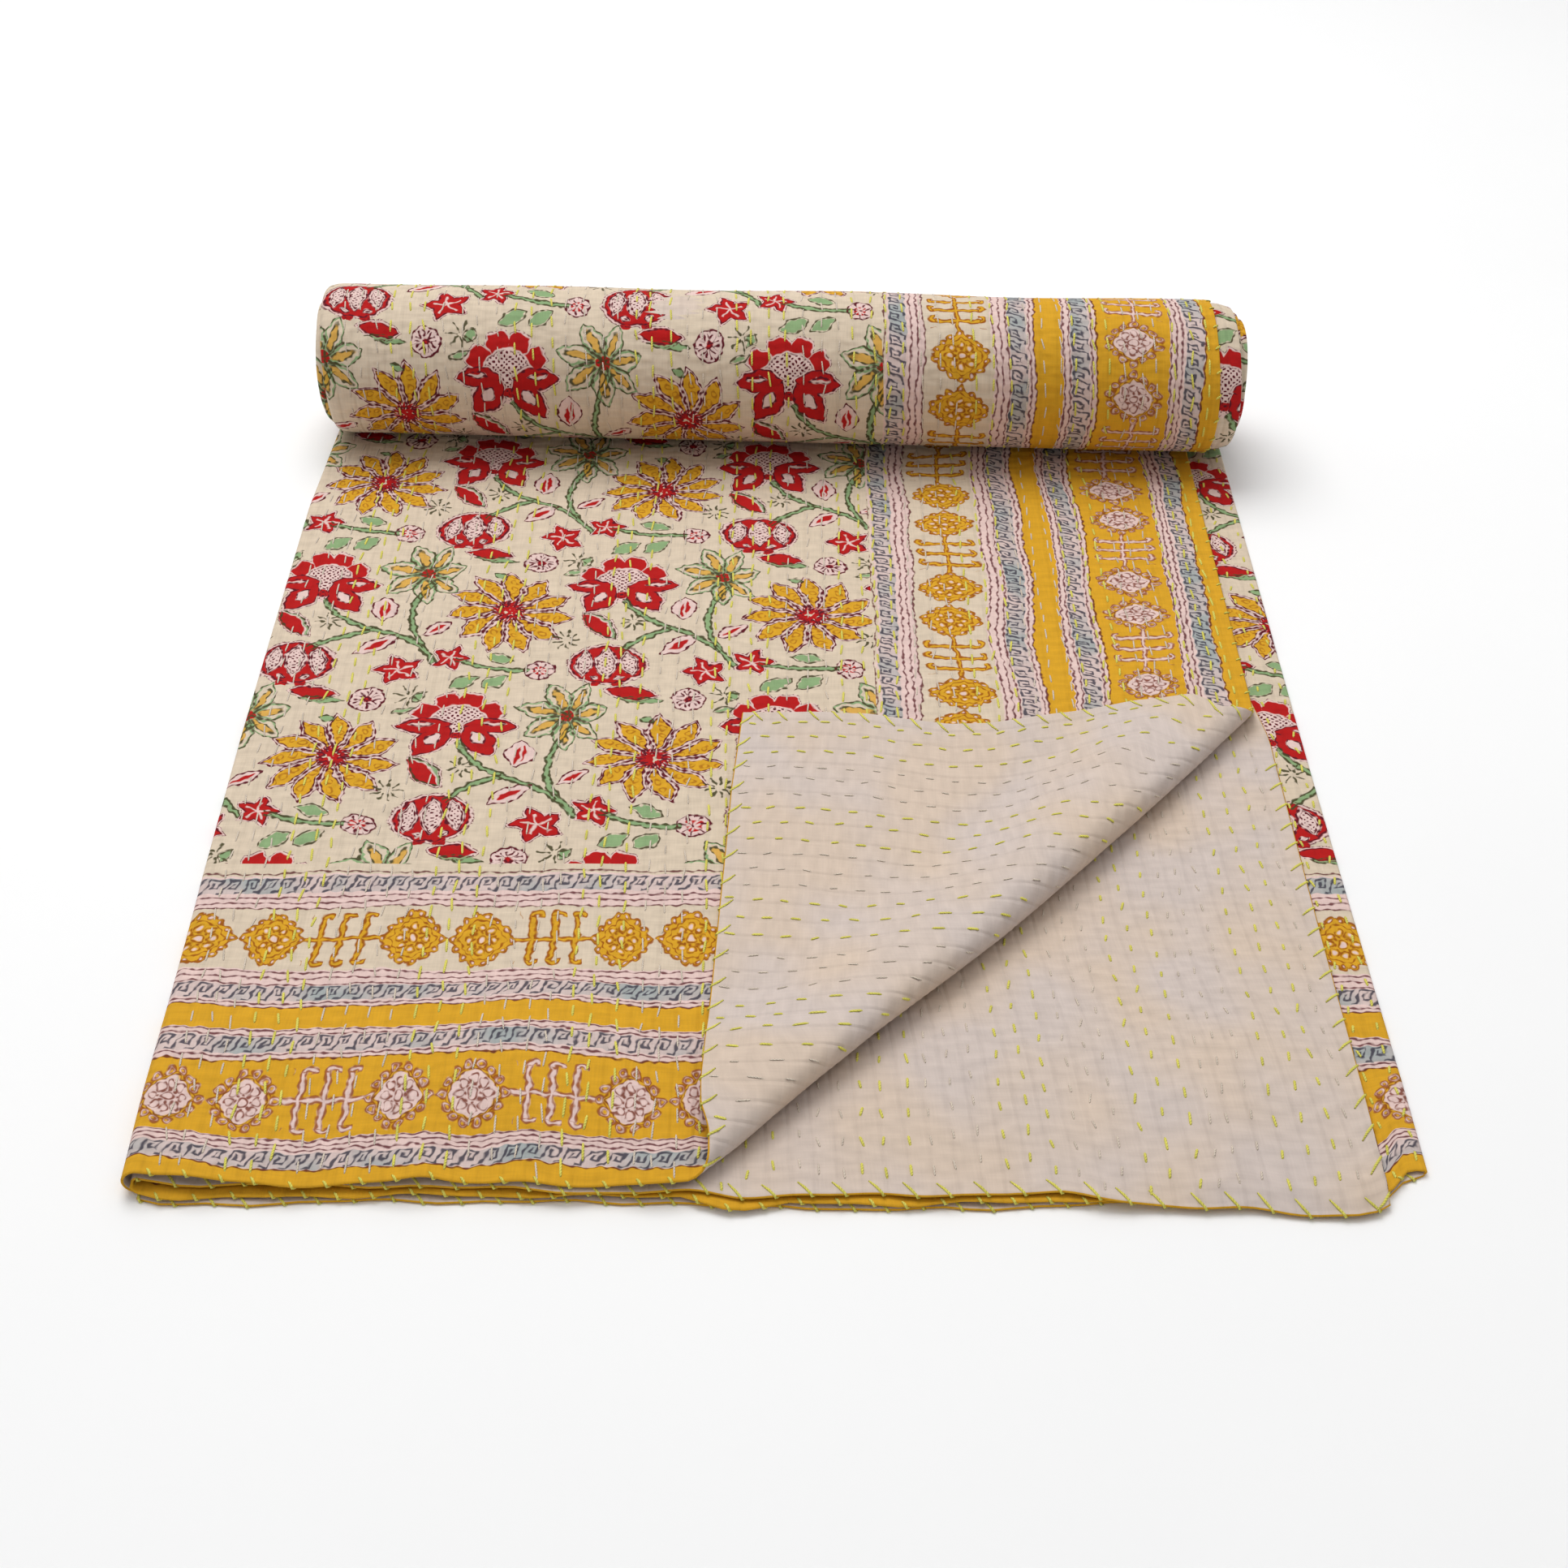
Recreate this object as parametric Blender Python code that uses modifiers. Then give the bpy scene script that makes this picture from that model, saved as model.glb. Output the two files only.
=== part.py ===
"""A kantha quilt: one cloth folded lengthwise in four, its far end rolled up on itself and one front
corner of the top layer turned back.

X runs across the folded cloth, Y from its front hems to the roll, Z up. The origin is the middle of
the base of its box. The four layers are one back-and-forth section; from the top down:
  layer 1   right hem to the outer left fold, with the turned corner
  layer 2   right hem to the inner left fold
  layer 3   inner left fold to the right fold
  layer 4   right fold to the outer left fold, flat on the surface
"""

import math

import bmesh
import bpy
import numpy as np

# ---- driving sizes, in metres -------------------------------------------------------------------

FOLDED_WIDTH = 0.590          # outer left fold to right fold
CLOTH = 0.0013                # one layer of the stitched cloth
GAP_PRESSED = 0.0005          # between layers, under the roll
GAP_REACH = 0.20              # how far in from the front hems the layers stand apart

HEM_1_FRONT = 0.565           # right hem of layer 1, before the turned corner and at the roll
HEM_1_BACK = 0.566
HEM_2 = 0.571                 # right hem of layer 2

ROLL_RADIUS = 0.048
ROLL_Y = 0.640                # where the roll touches the flat layers, at mid width
ROLL_YAW = 0.045              # the roll lies further back on the left, in metres a metre
ROLL_LEFT = 0.006
ROLL_RIGHT = 0.598
ROLL_END_ROUND = 0.014        # radius of the roll's end edges
ROLL_FLATTEN = 0.985          # height of the roll over its width
TURN_BACK = 0.050             # the layers turn back this far behind the roll's touching line
TURN_SLACK = 0.0006           # half the space inside that turn
WIND_PITCH = 0.0115           # spacing of the broad spiral raised on the roll's ends
WIND_RELIEF = 0.0010

TURN_START = (0.262, -0.004)  # the turned corner's fold line: at the front hem, at the right hem
TURN_END = (0.566, 0.334)
TURN_BOW = 0.008              # how far the fold line bows towards the front
TIP = (0.275, 0.326)          # the cloth's corner, laid back on layer 1
TIP_HEM_SAG = 0.016           # how far the turned right hem sags between the tip and the fold line
BEND_RADIUS = 0.0095          # of the soft fold at the middle of the fold line
BEND_RADIUS_ENDS = 0.0038
FLAP_CLEAR = 0.0022           # the turned corner's mean height over layer 1
FLAP_SETTLE = 0.060           # how far from its fold the corner comes down on layer 1

# Front edge of each layer: how far it stands in front of layer 1's, the space under it there,
# and the wave of that space along the hem.
#          layer  forward   space    wave    wavelength  phase
FRONT = (
    (1, 0.0000, 0.0036, 0.62, 0.215, 2.6),
    (2, 0.0045, 0.0026, 0.50, 0.160, 0.4),
    (3, 0.0065, 0.0022, 0.45, 0.280, 4.0),
    (4, 0.0090, 0.0000, 0.00, 0.200, 0.0),
)

# The outer left fold's edge strays from a straight line: distance from the front, distance inwards.
LEFT_EDGE = (
    (0.00, 0.0105),
    (0.10, 0.0080),
    (0.20, 0.0042),
    (0.32, 0.0016),
    (0.54, 0.0006),
    (0.64, 0.0060),
    (0.75, 0.0070),
)

SECTION_STEPS = 12            # points across a layer
FOLD_STEPS = 5                # segments round a fold of the section
TURN_STEPS = 6                # segments round the turn under the roll
FLAP_STEPS = 17               # stations along the turned corner's fold line
ROLL_SIDES = 32
ROLL_STATIONS = 9
END_RINGS = 12

COLOUR = (0.72, 0.56, 0.36, 1.0)


# ---- helpers ------------------------------------------------------------------------------------

def ease(value):
    """0 to 1 with level ends."""
    value = np.clip(value, 0.0, 1.0)
    return value * value * (3.0 - 2.0 * value)


def column(table, index):
    return np.array([row[index] for row in table])


def clear_scene():
    for item in list(bpy.data.objects):
        bpy.data.objects.remove(item, do_unlink=True)


def new_collection(name):
    collection = bpy.data.collections.new(name)
    bpy.context.scene.collection.children.link(collection)
    return collection


def cotton():
    material = bpy.data.materials.new("printed_cotton")
    material.use_nodes = True
    shader = material.node_tree.nodes["Principled BSDF"]
    shader.inputs["Base Color"].default_value = COLOUR
    shader.inputs["Roughness"].default_value = 0.85
    shader.inputs["Metallic"].default_value = 0.0
    return material


def add_object(name, vertices, faces, collection, material):
    mesh = bpy.data.meshes.new(name)
    mesh.from_pydata([tuple(point) for point in vertices], [], faces)
    mesh.materials.append(material)
    mesh.shade_smooth()
    piece = bpy.data.objects.new(name, mesh)
    collection.objects.link(piece)
    return piece


def grid_faces(rows, columns, wrap=False):
    """Quads of a grid of points kept row by row; wrap joins the last column to the first."""
    across = columns if wrap else columns - 1
    faces = []
    for row in range(rows - 1):
        for col in range(across):
            after = (col + 1) % columns
            start = row * columns
            faces.append((start + col, start + after, start + columns + after, start + columns + col))
    return faces


# ---- the layers' heights ------------------------------------------------------------------------

def gap_under(layer, x, y):
    """Space under a layer: even by the roll, wider and wavy along the front hems."""
    _, _, space, wave, length, phase = FRONT[layer - 1]
    open_share = (1.0 - ease(y / GAP_REACH)) ** 1.5
    wavy = space * (1.0 + wave * np.sin(2.0 * math.pi * x / length + phase))
    return GAP_PRESSED + (wavy - GAP_PRESSED) * open_share


def height(layer, x, y):
    """Mid height of a layer over the surface, for flat layers."""
    level = CLOTH / 2.0 + 0.0 * x
    for below in range(3, layer - 1, -1):
        level = level + CLOTH + gap_under(below, x, y)
    return level


def left_edge(y):
    return np.interp(y, column(LEFT_EDGE, 0), column(LEFT_EDGE, 1))


PACK = 4 * CLOTH + 3 * GAP_PRESSED      # the four layers, pressed


# ---- the folded layers --------------------------------------------------------------------------

def fold_line(share):
    """A point of the turned corner's fold line, in plan."""
    start = np.array(TURN_START)
    run = np.array(TURN_END) - start
    out = np.array((run[1], -run[0])) / np.linalg.norm(run)
    return start + run * share + out * TURN_BOW * math.sin(math.pi * share), out


def bend_radius(share):
    return BEND_RADIUS_ENDS + (BEND_RADIUS - BEND_RADIUS_ENDS) * math.sin(math.pi * share)


def layer_1_end(y):
    """Where layer 1 ends on the right: at its hem, or short of the turned corner's fold."""
    hem = HEM_1_FRONT + (HEM_1_BACK - HEM_1_FRONT) * y / ROLL_Y
    if y >= TURN_END[1]:
        return hem
    share = max(0.0, (y - TURN_START[1]) / (TURN_END[1] - TURN_START[1]))
    point, out = fold_line(share)
    return min(hem, point[0] - (bend_radius(share) + 0.002) / out[0])


def half_turn(x_mid, low, high, side, steps):
    """Points of a fold of the section from one height to another: side is -1 left, +1 right."""
    middle = (low + high) / 2.0
    radius = (high - low) / 2.0
    bulge = abs(radius)
    points = []
    for step in range(1, steps):
        angle = math.pi * step / steps
        points.append((x_mid + side * bulge * math.sin(angle), middle - radius * math.cos(angle)))
    return points


def section(y):
    """One back-and-forth section: (x, height, layer) from the top hem to the second hem."""
    levels = [lambda x, k=k: float(height(k, x, y)) for k in (1, 2, 3, 4)]
    outer = (levels[0](0.0) - levels[3](0.0)) / 2.0 + CLOTH / 2.0
    left = left_edge(y) + outer
    right = FOLDED_WIDTH - (levels[2](FOLDED_WIDTH) - levels[3](FOLDED_WIDTH)) / 2.0 - CLOTH / 2.0

    def run(layer, start, stop, steps):
        return [(x, levels[layer - 1](x), layer) for x in np.linspace(start, stop, steps)]

    points = run(1, layer_1_end(y), left, SECTION_STEPS)
    points += [(x, z, 4 if z < levels[3](left) + outer / 2 else 1)
               for x, z in half_turn(left, levels[0](left), levels[3](left), -1, FOLD_STEPS + 1)]
    points += run(4, left, right, SECTION_STEPS)
    points += [(x, z, 4) for x, z in half_turn(right, levels[3](right), levels[2](right), 1, FOLD_STEPS)]
    points += run(3, right, left, SECTION_STEPS)
    points += [(x, z, 3) for x, z in half_turn(left, levels[2](left), levels[1](left), -1, FOLD_STEPS)]
    points += run(2, left, HEM_2, SECTION_STEPS)
    return points


def along_layers():
    """Stations along the layers, front to roll, with the turn under the roll and the way back.

    Each is (flat distance for the section, function of the height that gives (y, z))."""
    turn_y = ROLL_Y + TURN_BACK
    flat = np.concatenate((
        [0.0, 0.012, 0.030, 0.060, 0.100, 0.150, 0.200],
        np.linspace(0.250, 0.340, 3),
        np.linspace(0.420, turn_y, 5),
    ))
    pivot = PACK + TURN_SLACK
    stations = [(y, lambda h, y=y: (y, h)) for y in flat]
    for step in range(1, TURN_STEPS + 1):
        angle = math.pi * step / TURN_STEPS
        stations.append((turn_y, lambda h, a=angle: (
            turn_y + (pivot - h) * math.sin(a),
            pivot - (pivot - h) * math.cos(a),
        )))
    for back, rise in ((0.020, 0.0), (0.038, 0.0020), (0.058, 0.0095)):
        stations.append((turn_y, lambda h, b=back, r=rise: (turn_y - b, 2.0 * pivot - h + r)))
    return stations


def build_layers(collection, material):
    points = []
    stations = along_layers()
    for flat_y, place in stations:
        for x, level, layer in section(flat_y):
            y, z = place(level)
            forward = FRONT[layer - 1][1] * (1.0 - ease(flat_y / GAP_REACH))
            yaw = ROLL_YAW * (FOLDED_WIDTH / 2.0 - x) * ease((flat_y - 0.30) / (ROLL_Y - 0.30))
            points.append((x, y - forward + yaw, z))
    columns = len(points) // len(stations)
    layers = add_object("quilt", points, grid_faces(len(stations), columns), collection, material)
    shell = layers.modifiers.new("thickness", "SOLIDIFY")
    shell.thickness = CLOTH
    shell.offset = 0.0
    return layers


# ---- the turned corner --------------------------------------------------------------------------

def turned_hem(share, tip_share):
    """The corner's free edge: up its front hem to the tip, then along its right hem."""
    tip = np.array(TIP)
    if share < tip_share:
        start = np.array(TURN_START)
        return start + (tip - start) * (share / tip_share)
    along = (share - tip_share) / (1.0 - tip_share)
    point = tip + (np.array(TURN_END) - tip) * along
    return point - np.array((0.0, TIP_HEM_SAG)) * math.sin(math.pi * along ** 0.7)


def build_turned_corner(collection, material):
    run = np.array(TURN_END) - np.array(TURN_START)
    tip_share = float(np.dot(np.array(TIP) - np.array(TURN_START), run) / np.dot(run, run))
    shares = np.linspace(0.0, 1.0, FLAP_STEPS)
    lay = CLOTH + FLAP_CLEAR
    rows = []
    for share in shares:
        edge, out = fold_line(share)
        radius = bend_radius(share)
        hem = turned_hem(share, tip_share)
        stub = edge - out * (radius + 0.006)
        reach = max(0.0, float(np.dot(stub - hem, out)))
        if reach <= 0.0:
            hem = stub
        path = []
        for inset, rise in ((radius + 0.014, 0.0), (radius + 0.005, 0.0), (radius, 0.0)):
            path.append((edge - out * inset, rise))
        for angle in (-50.0, -15.0, 20.0, 55.0, 90.0):
            turn = math.radians(angle)
            path.append((edge - out * radius * (1.0 - math.cos(turn)), radius * (1.0 + math.sin(turn))))
        crest = edge - out * radius
        for part in (0.10, 0.24, 0.42, 0.62, 0.82, 1.0):
            spot = crest + (hem - crest) * part
            away = float(np.linalg.norm(spot - crest))
            drop = float(ease(away / FLAP_SETTLE))
            path.append((spot, 2.0 * radius + (lay - 2.0 * radius) * drop))
        rows.append([(spot[0], spot[1], float(height(1, spot[0], max(spot[1], 0.0))) + rise)
                     for spot, rise in path])
    columns = len(rows[0])
    points = [point for row in rows for point in row]
    flap = add_object("turned_corner", points, grid_faces(len(rows), columns), collection, material)
    seat = flap.vertex_groups.new(name="full_thickness")
    for index in range(len(points)):
        seat.add([index], 0.45 if index % columns < 2 else 1.0, "REPLACE")
    shell = flap.modifiers.new("thickness", "SOLIDIFY")
    shell.thickness = CLOTH
    shell.offset = 0.0
    shell.vertex_group = seat.name
    return flap


# ---- the roll -----------------------------------------------------------------------------------

def build_roll(collection, material):
    """A wound roll: stations along X of rings round the axis, ends rounded and raised in a spiral."""
    centre_z = PACK + ROLL_RADIUS * ROLL_FLATTEN
    length = ROLL_RIGHT - ROLL_LEFT
    angles = np.arange(ROLL_SIDES) * 2.0 * math.pi / ROLL_SIDES
    points = []

    def ring(x, radius, bulge):
        for angle, extra in zip(angles, bulge):
            y = ROLL_Y + radius * math.cos(angle) + ROLL_YAW * (FOLDED_WIDTH / 2.0 - x)
            points.append((x + extra, y, centre_z + radius * ROLL_FLATTEN * math.sin(angle)))

    def end_relief(radius, side):
        phase = 2.0 * math.pi * radius / WIND_PITCH - side * angles
        fade = ease(radius / WIND_PITCH) * ease((ROLL_RADIUS - ROLL_END_ROUND - radius) / WIND_PITCH + 1.0)
        return side * WIND_RELIEF * fade * np.cos(phase)

    still = np.zeros(ROLL_SIDES)
    inner = ROLL_RADIUS - ROLL_END_ROUND
    radii = inner * (np.arange(END_RINGS) + 0.5) / END_RINGS
    for radius in radii:
        ring(ROLL_LEFT, radius, end_relief(radius, -1))
    for angle in np.radians((10.0, 35.0, 62.0)):
        ring(ROLL_LEFT + ROLL_END_ROUND * (1.0 - math.cos(angle)), inner + ROLL_END_ROUND * math.sin(angle), still)
    for share in np.linspace(0.0, 1.0, ROLL_STATIONS):
        x = ROLL_LEFT + ROLL_END_ROUND + (length - 2.0 * ROLL_END_ROUND) * share
        slack = 0.0006 * math.sin(9.0 * share + 1.0)
        ring(x, ROLL_RADIUS + slack, still)
    for angle in np.radians((62.0, 35.0, 10.0)):
        ring(ROLL_RIGHT - ROLL_END_ROUND * (1.0 - math.cos(angle)), inner + ROLL_END_ROUND * math.sin(angle), still)
    for radius in radii[::-1]:
        ring(ROLL_RIGHT, radius, end_relief(radius, 1))

    rings = len(points) // ROLL_SIDES
    faces = grid_faces(rings, ROLL_SIDES, wrap=True)
    faces.append(tuple(range(ROLL_SIDES)))
    last = (rings - 1) * ROLL_SIDES
    faces.append(tuple(last + side for side in range(ROLL_SIDES))[::-1])
    roll = add_object("roll", points, faces, collection, material)
    outward(roll)
    return roll


def outward(piece):
    """Turns a closed mesh's faces outwards."""
    edit = bmesh.new()
    edit.from_mesh(piece.data)
    bmesh.ops.recalc_face_normals(edit, faces=edit.faces)
    edit.to_mesh(piece.data)
    edit.free()


def join_to(body, other):
    """Unions another closed solid with the body."""
    union = body.modifiers.new("join_" + other.name, "BOOLEAN")
    union.operation = "UNION"
    union.solver = "EXACT"
    union.object = other
    other.hide_render = True
    other.display_type = "WIRE"


def centre_on_base(pieces):
    """Moves every mesh so that the origin is the middle of the base of the finished cloth's box."""
    graph = bpy.context.evaluated_depsgraph_get()
    corners = np.array([tuple(corner) for corner in pieces[0].evaluated_get(graph).bound_box])
    low, high = corners.min(axis=0), corners.max(axis=0)
    shift = np.array(((low[0] + high[0]) / 2.0, (low[1] + high[1]) / 2.0, low[2]))
    for piece in pieces:
        for vertex in piece.data.vertices:
            vertex.co = tuple(np.array(vertex.co) - shift)
        piece.data.update()


def main():
    clear_scene()
    quilt = new_collection("kantha_quilt")
    joined = new_collection("joined_forms")
    material = cotton()
    layers = build_layers(quilt, material)
    roll = build_roll(joined, material)
    corner = build_turned_corner(joined, material)
    join_to(layers, roll)
    join_to(layers, corner)
    centre_on_base((layers, roll, corner))


main()
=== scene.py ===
"""Dresses a folded and rolled kantha quilt: printed cotton, running stitch and whip stitch.

X runs across the folded cloth, Y from its front hems to the roll, Z up. Places on the cloth are given
as (across, along): across grows from the left fold to the right hem of the top layer, along grows from
the front hem. Laid flat, the cloth reaches from across = HEM_ACROSS down to HEM_ACROSS - CLOTH_WIDTH.
"""

import math

import bpy
import numpy as np
from bpy.props import FloatProperty, FloatVectorProperty, PointerProperty
from bpy.types import Operator, Panel, PropertyGroup
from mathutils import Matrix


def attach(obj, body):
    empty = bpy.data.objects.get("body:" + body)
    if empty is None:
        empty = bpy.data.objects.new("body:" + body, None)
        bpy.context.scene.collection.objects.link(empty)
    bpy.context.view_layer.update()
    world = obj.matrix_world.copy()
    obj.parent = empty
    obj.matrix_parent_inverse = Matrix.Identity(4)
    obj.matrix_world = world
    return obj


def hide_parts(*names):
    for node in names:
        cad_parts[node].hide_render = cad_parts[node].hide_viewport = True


bl_info = {
    "name": "Kantha quilt",
    "version": (1, 0, 0),
    "blender": (4, 5, 0),
    "location": "View3D > Sidebar > Quilt",
    "description": "Builds a block-printed kantha quilt, folded in four and rolled at one end",
    "category": "Object",
}

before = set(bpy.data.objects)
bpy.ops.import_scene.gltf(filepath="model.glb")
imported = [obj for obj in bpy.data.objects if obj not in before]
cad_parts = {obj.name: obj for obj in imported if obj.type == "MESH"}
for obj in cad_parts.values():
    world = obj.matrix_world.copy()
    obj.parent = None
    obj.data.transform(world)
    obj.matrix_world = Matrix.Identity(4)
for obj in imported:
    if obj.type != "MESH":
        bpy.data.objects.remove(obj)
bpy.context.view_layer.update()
BODY = "root"
NODE = "quilt"

# ---- the solid's own sizes, in metres ----------------------------------------------------------

LEFT_FOLD = -0.2999           # where the layers' own x and y start, in the frame
FRONT_HEM = -0.3506
FOLDED_WIDTH = 0.590
CLOTH = 0.0013
GAP_PRESSED = 0.0005          # space between layers that lie pressed together
GAP_REACH = 0.20              # they are pressed from here back
PACK = 4 * CLOTH + 3 * GAP_PRESSED
HEM_ACROSS = 0.5655           # right hem of the top layer
HEM_2 = 0.571                 # right hem of the second layer
HEM_2_BACK = HEM_ACROSS - 0.0008   # the same hem near the roll, tucked under the top layer
CLOTH_WIDTH = 2.286
CLOTH_LENGTH = 2.743
BORDER = 0.211                # width of the printed border
FLAT_END = 0.655              # the flat pieces stop here, under the roll

ROLL_RADIUS = 0.0499
ROLL_FLATTEN = 0.985          # height of the roll over its depth
ROLL_Y = 0.640
ROLL_YAW = 0.045              # the roll is turned this much, in radians
ROLL_LEFT = 0.0022
ROLL_RIGHT = 0.5940
ROLL_PITCH = 0.0036           # four layers, wound tight
ROLL_CLOTH = 0.00078          # one layer there
ROLL_TURNS = 12.4
ROLL_ALONG = 0.770            # the cloth's length up to where the roll begins
ROLL_SHIFT = 0.0100           # the cloth lies this much further right on the roll
ROLL_HEM = 0.5806             # the top layer's hem on the roll
ROLL_HEM_2 = 0.5798           # the second layer's
TURN_BACK = 0.050             # how far the pack runs on under the roll before it turns back
TURN_SLACK = 0.0006
RIM_INSET = 0.0065            # the outer turns stand back this much at the roll's ends
RIM_DIP = 0.085               # and dip by this share of the radius
RIM_REACH = 0.017

#   place across the cloth of layers 1 to 4, as sign * x + offset
CLOTH_OF_LAYER = ((1.0, 0.0), (-1.0, -1.153), (1.0, -1.166), (-1.0, 0.0065))

TURN_START = (0.262, -0.004)  # the turned corner's fold line in plan
TURN_END = (0.566, 0.334)
TURN_BOW = 0.008
TURN_SLIDE = 0.29
TURN_STRETCH = 0.062          # on the bias, the corner gives this much
#   the turned corner's own two hems bow: places along each hem, and how far up and how far left, in mm
TOP_BOW_AT = (0, 25, 50, 75, 100, 125, 150, 175, 200, 225, 250, 275, 300, 330)
TOP_BOW = (0, 3, 6, 7, 3, -1, 0, 5, 10, 15, 16, 14, 12, 2)
SIDE_BOW_AT = (260, 288, 316, 343, 400, 450, 510, 540, 566)
SIDE_BOW = (0, 4, 7, 8, 8.5, 8.5, 8, 6.5, 5)
BOW_REACH = 0.20              # and how far in from each hem the bow goes
BEND_RADIUS = 0.0100
BEND_RADIUS_LOW = 0.0045      # at the front hem
BEND_RADIUS_TIP = 0.0088
FLAP_CLEAR = 0.0019           # space under the turned corner
FLAP_SETTLE = 0.060           # the turned corner has come down this far behind the bend

REPEAT_ACROSS = 178.5         # the flowered print's repeat, in mm
REPEAT_ALONG = 268.0
REPEAT_AT = (54.0, 297.5)     # a sunflower's middle, in mm from the cloth's zero
PRINT_LEAN = 0.03             # the print runs this much askew
ROLL_PRINT_SHIFT = 3.8        # and lies this much further left beyond the flat part
LOTUS = (67.0, 29.0)          # places in the repeat, in mm from the sunflower
LILY = (-50.0, 38.0)
FRUIT = (60.0, -50.0)

FIRST_ROW = 0.006             # the first row of running stitch, from the hem
ROW_SPACING = 0.0106
STITCH_PITCH = 0.0150
FACE_STITCH = 0.0096          # a stitch's length on the printed side
BACK_STITCH = 0.0058
WHIP_PITCH = 0.0160
WHIP_DEPTH = 0.0064
RING_SIDES = 4                # points round a thread
STITCH_SHAPE = ((-0.5, -0.00020, 0.45), (-0.3, 0.00018, 1.0), (0.3, 0.00018, 1.0), (0.5, -0.00020, 0.45))
#   a running stitch: place along it, lift over the cloth, share of its full thickness
PALE_SLENDER = 0.72           # the cream thread is thinner than the lime one

CAMERA_AT = (0.3058, -0.6430, 0.7771)   # in the layers' own x and y
CAMERA_SHIFT = -7.0 / 1932.0
FLOOR_HALF = 7.0
FLOOR_FLAT = 5.0              # the floor is flat this far out, then sweeps up all round
FLOOR_SWEEP = 1.6
FLOOR_RISE = 3.0

#   space at the front, wave, wavelength and phase, under layers 1 to 3
SPACES = ((0.0036, 0.45, 0.215, 2.6), (0.0026, 0.40, 0.160, 0.4), (0.0022, 0.35, 0.280, 4.0))
SPACE_AT_HEM = 0.12
#   where the top layer's hem is lifted: middle, half width, lift
ARCHES = ((0.040, 0.014, 0.0050), (0.143, 0.012, 0.0030), (0.250, 0.020, 0.0020))
#   how far each hem stands out, in mm, at places across the front, in mm
HEM_AT = (0, 8, 22, 37, 67, 102, 140, 165, 199, 240, 261, 270, 282, 292, 305, 337, 387, 407, 428, 442, 470,
          497, 524, 555, 565, 573, 583, 588)
HEMS_OUT = (
    (0, 0, 1, 1, 2, 3, 1, 0, 4, 3, 2, 1, 0, 0, 0, 0, 0, 0, 0, 0, 0, 0, 0, 0, 0, 0, 0, 0),
    (1, 1, 1, 0, 0.5, 1, 1.5, 2, 4.5, 5, 5, 5.5, 6.5, 6.5, 6.5, 6.5, 6.5, 5, 6, 8, 10.5, 12, 13.4, 15.5,
     13.0, 8.0, 2, 0),
    (1, 1, 5.4, 6.4, 5.6, 4.6, 4.4, 4.6, 4.8, 5.0, 5.4, 9.4, 12, 12, 9.0, 9.4, 9.0, 8.4, 7.4, 7, 7, 7, 7, 7,
     6.5, 3, -9, -10),
    (1, 1.7, 7.2, 8.5, 7.2, 5.8, 5.8, 5.8, 6.2, 6.5, 6.7, 8.4, 9.5, 9.5, 8.4, 10.5, 10.4, 9, 8, 7.4, 7.2,
     7.2, 7.2, 7.2, 7.2, 4, -8, -9),
)
LEFT_EDGE_Y = (0.00, 0.10, 0.20, 0.32, 0.54, 0.64, 0.75)
LEFT_EDGE_X = (0.0078, 0.0060, 0.0032, 0.0012, 0.0006, 0.0056, 0.0066)


# ---- small helpers ------------------------------------------------------------------------------

def ease(value):
    """0 to 1 with level ends: 3t^2 - 2t^3 of the clipped value."""
    value = np.clip(value, 0.0, 1.0)
    return value * value * (3.0 - 2.0 * value)


def waves(x, y, seed, count, shortest, longest):
    """A smooth uneven field from -1 to 1: a sum of `count` plane sine waves of seeded direction."""
    rng = np.random.default_rng(seed)
    total = 0.0
    for length, turn, phase in zip(
        rng.uniform(shortest, longest, count),
        rng.uniform(0.0, math.pi, count),
        rng.uniform(0.0, 2.0 * math.pi, count),
    ):
        total = total + np.sin(2.0 * math.pi * (x * math.cos(turn) + y * math.sin(turn)) / length + phase)
    return total / math.sqrt(2.0 * count)


def spaced(start, stop, step):
    """Evenly spaced values from start to stop, both included, no further apart than step."""
    return np.linspace(start, stop, max(2, int(math.ceil(abs(stop - start) / step)) + 1))


def joined(*runs):
    """Runs of stations end to end, each next run without its first value."""
    return np.concatenate([runs[0]] + [run[1:] for run in runs[1:]])


# ---- how the flat layers lie --------------------------------------------------------------------

def gap_under(layer, x, y):
    """Space under a layer: even by the roll, wide and wavy some way behind the front hems, closing
    again at the hems but not at the left folds; a bell curve under each lifted place."""
    space, wave, length, phase = SPACES[layer - 1]
    open_share = (1.0 - ease((y - 0.055) / (GAP_REACH - 0.055))) ** 1.5
    at_hem = SPACE_AT_HEM + (1.0 - SPACE_AT_HEM) * (1.0 - ease((x - 0.002) / 0.04))
    open_share = open_share * (at_hem + (1.0 - at_hem) * ease(y / 0.060))
    wavy = space * (1.0 + wave * np.sin(2.0 * math.pi * x / length + phase))
    ruffle = 0.0005 * (1.0 + np.sin(2.0 * math.pi * x / 0.061 + 3.0 * phase)) * (1.0 - ease(y / 0.07))
    gap = GAP_PRESSED + (wavy - GAP_PRESSED) * open_share + ruffle
    if layer == 1:
        for middle, half, lift in ARCHES:
            gap = gap + lift * np.exp(-((x - middle) / half) ** 2) * (1.0 - ease(y / 0.05))
    return gap


def height(layer, x, y):
    """Mid height of a flat layer: half a cloth, then cloth and space for each layer below it."""
    level = CLOTH / 2.0 + 0.0 * x
    for below in range(3, layer - 1, -1):
        level = level + CLOTH + gap_under(below, x, y)
    return level


def left_edge(y):
    """The outer fold's distance from a straight line."""
    return np.interp(y, LEFT_EDGE_Y, LEFT_EDGE_X)


def right_edge(y):
    """Where the right fold lies: a little further out towards the front."""
    return FOLDED_WIDTH + 0.0022 * (1.0 - ease(y / 0.35))


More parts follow.
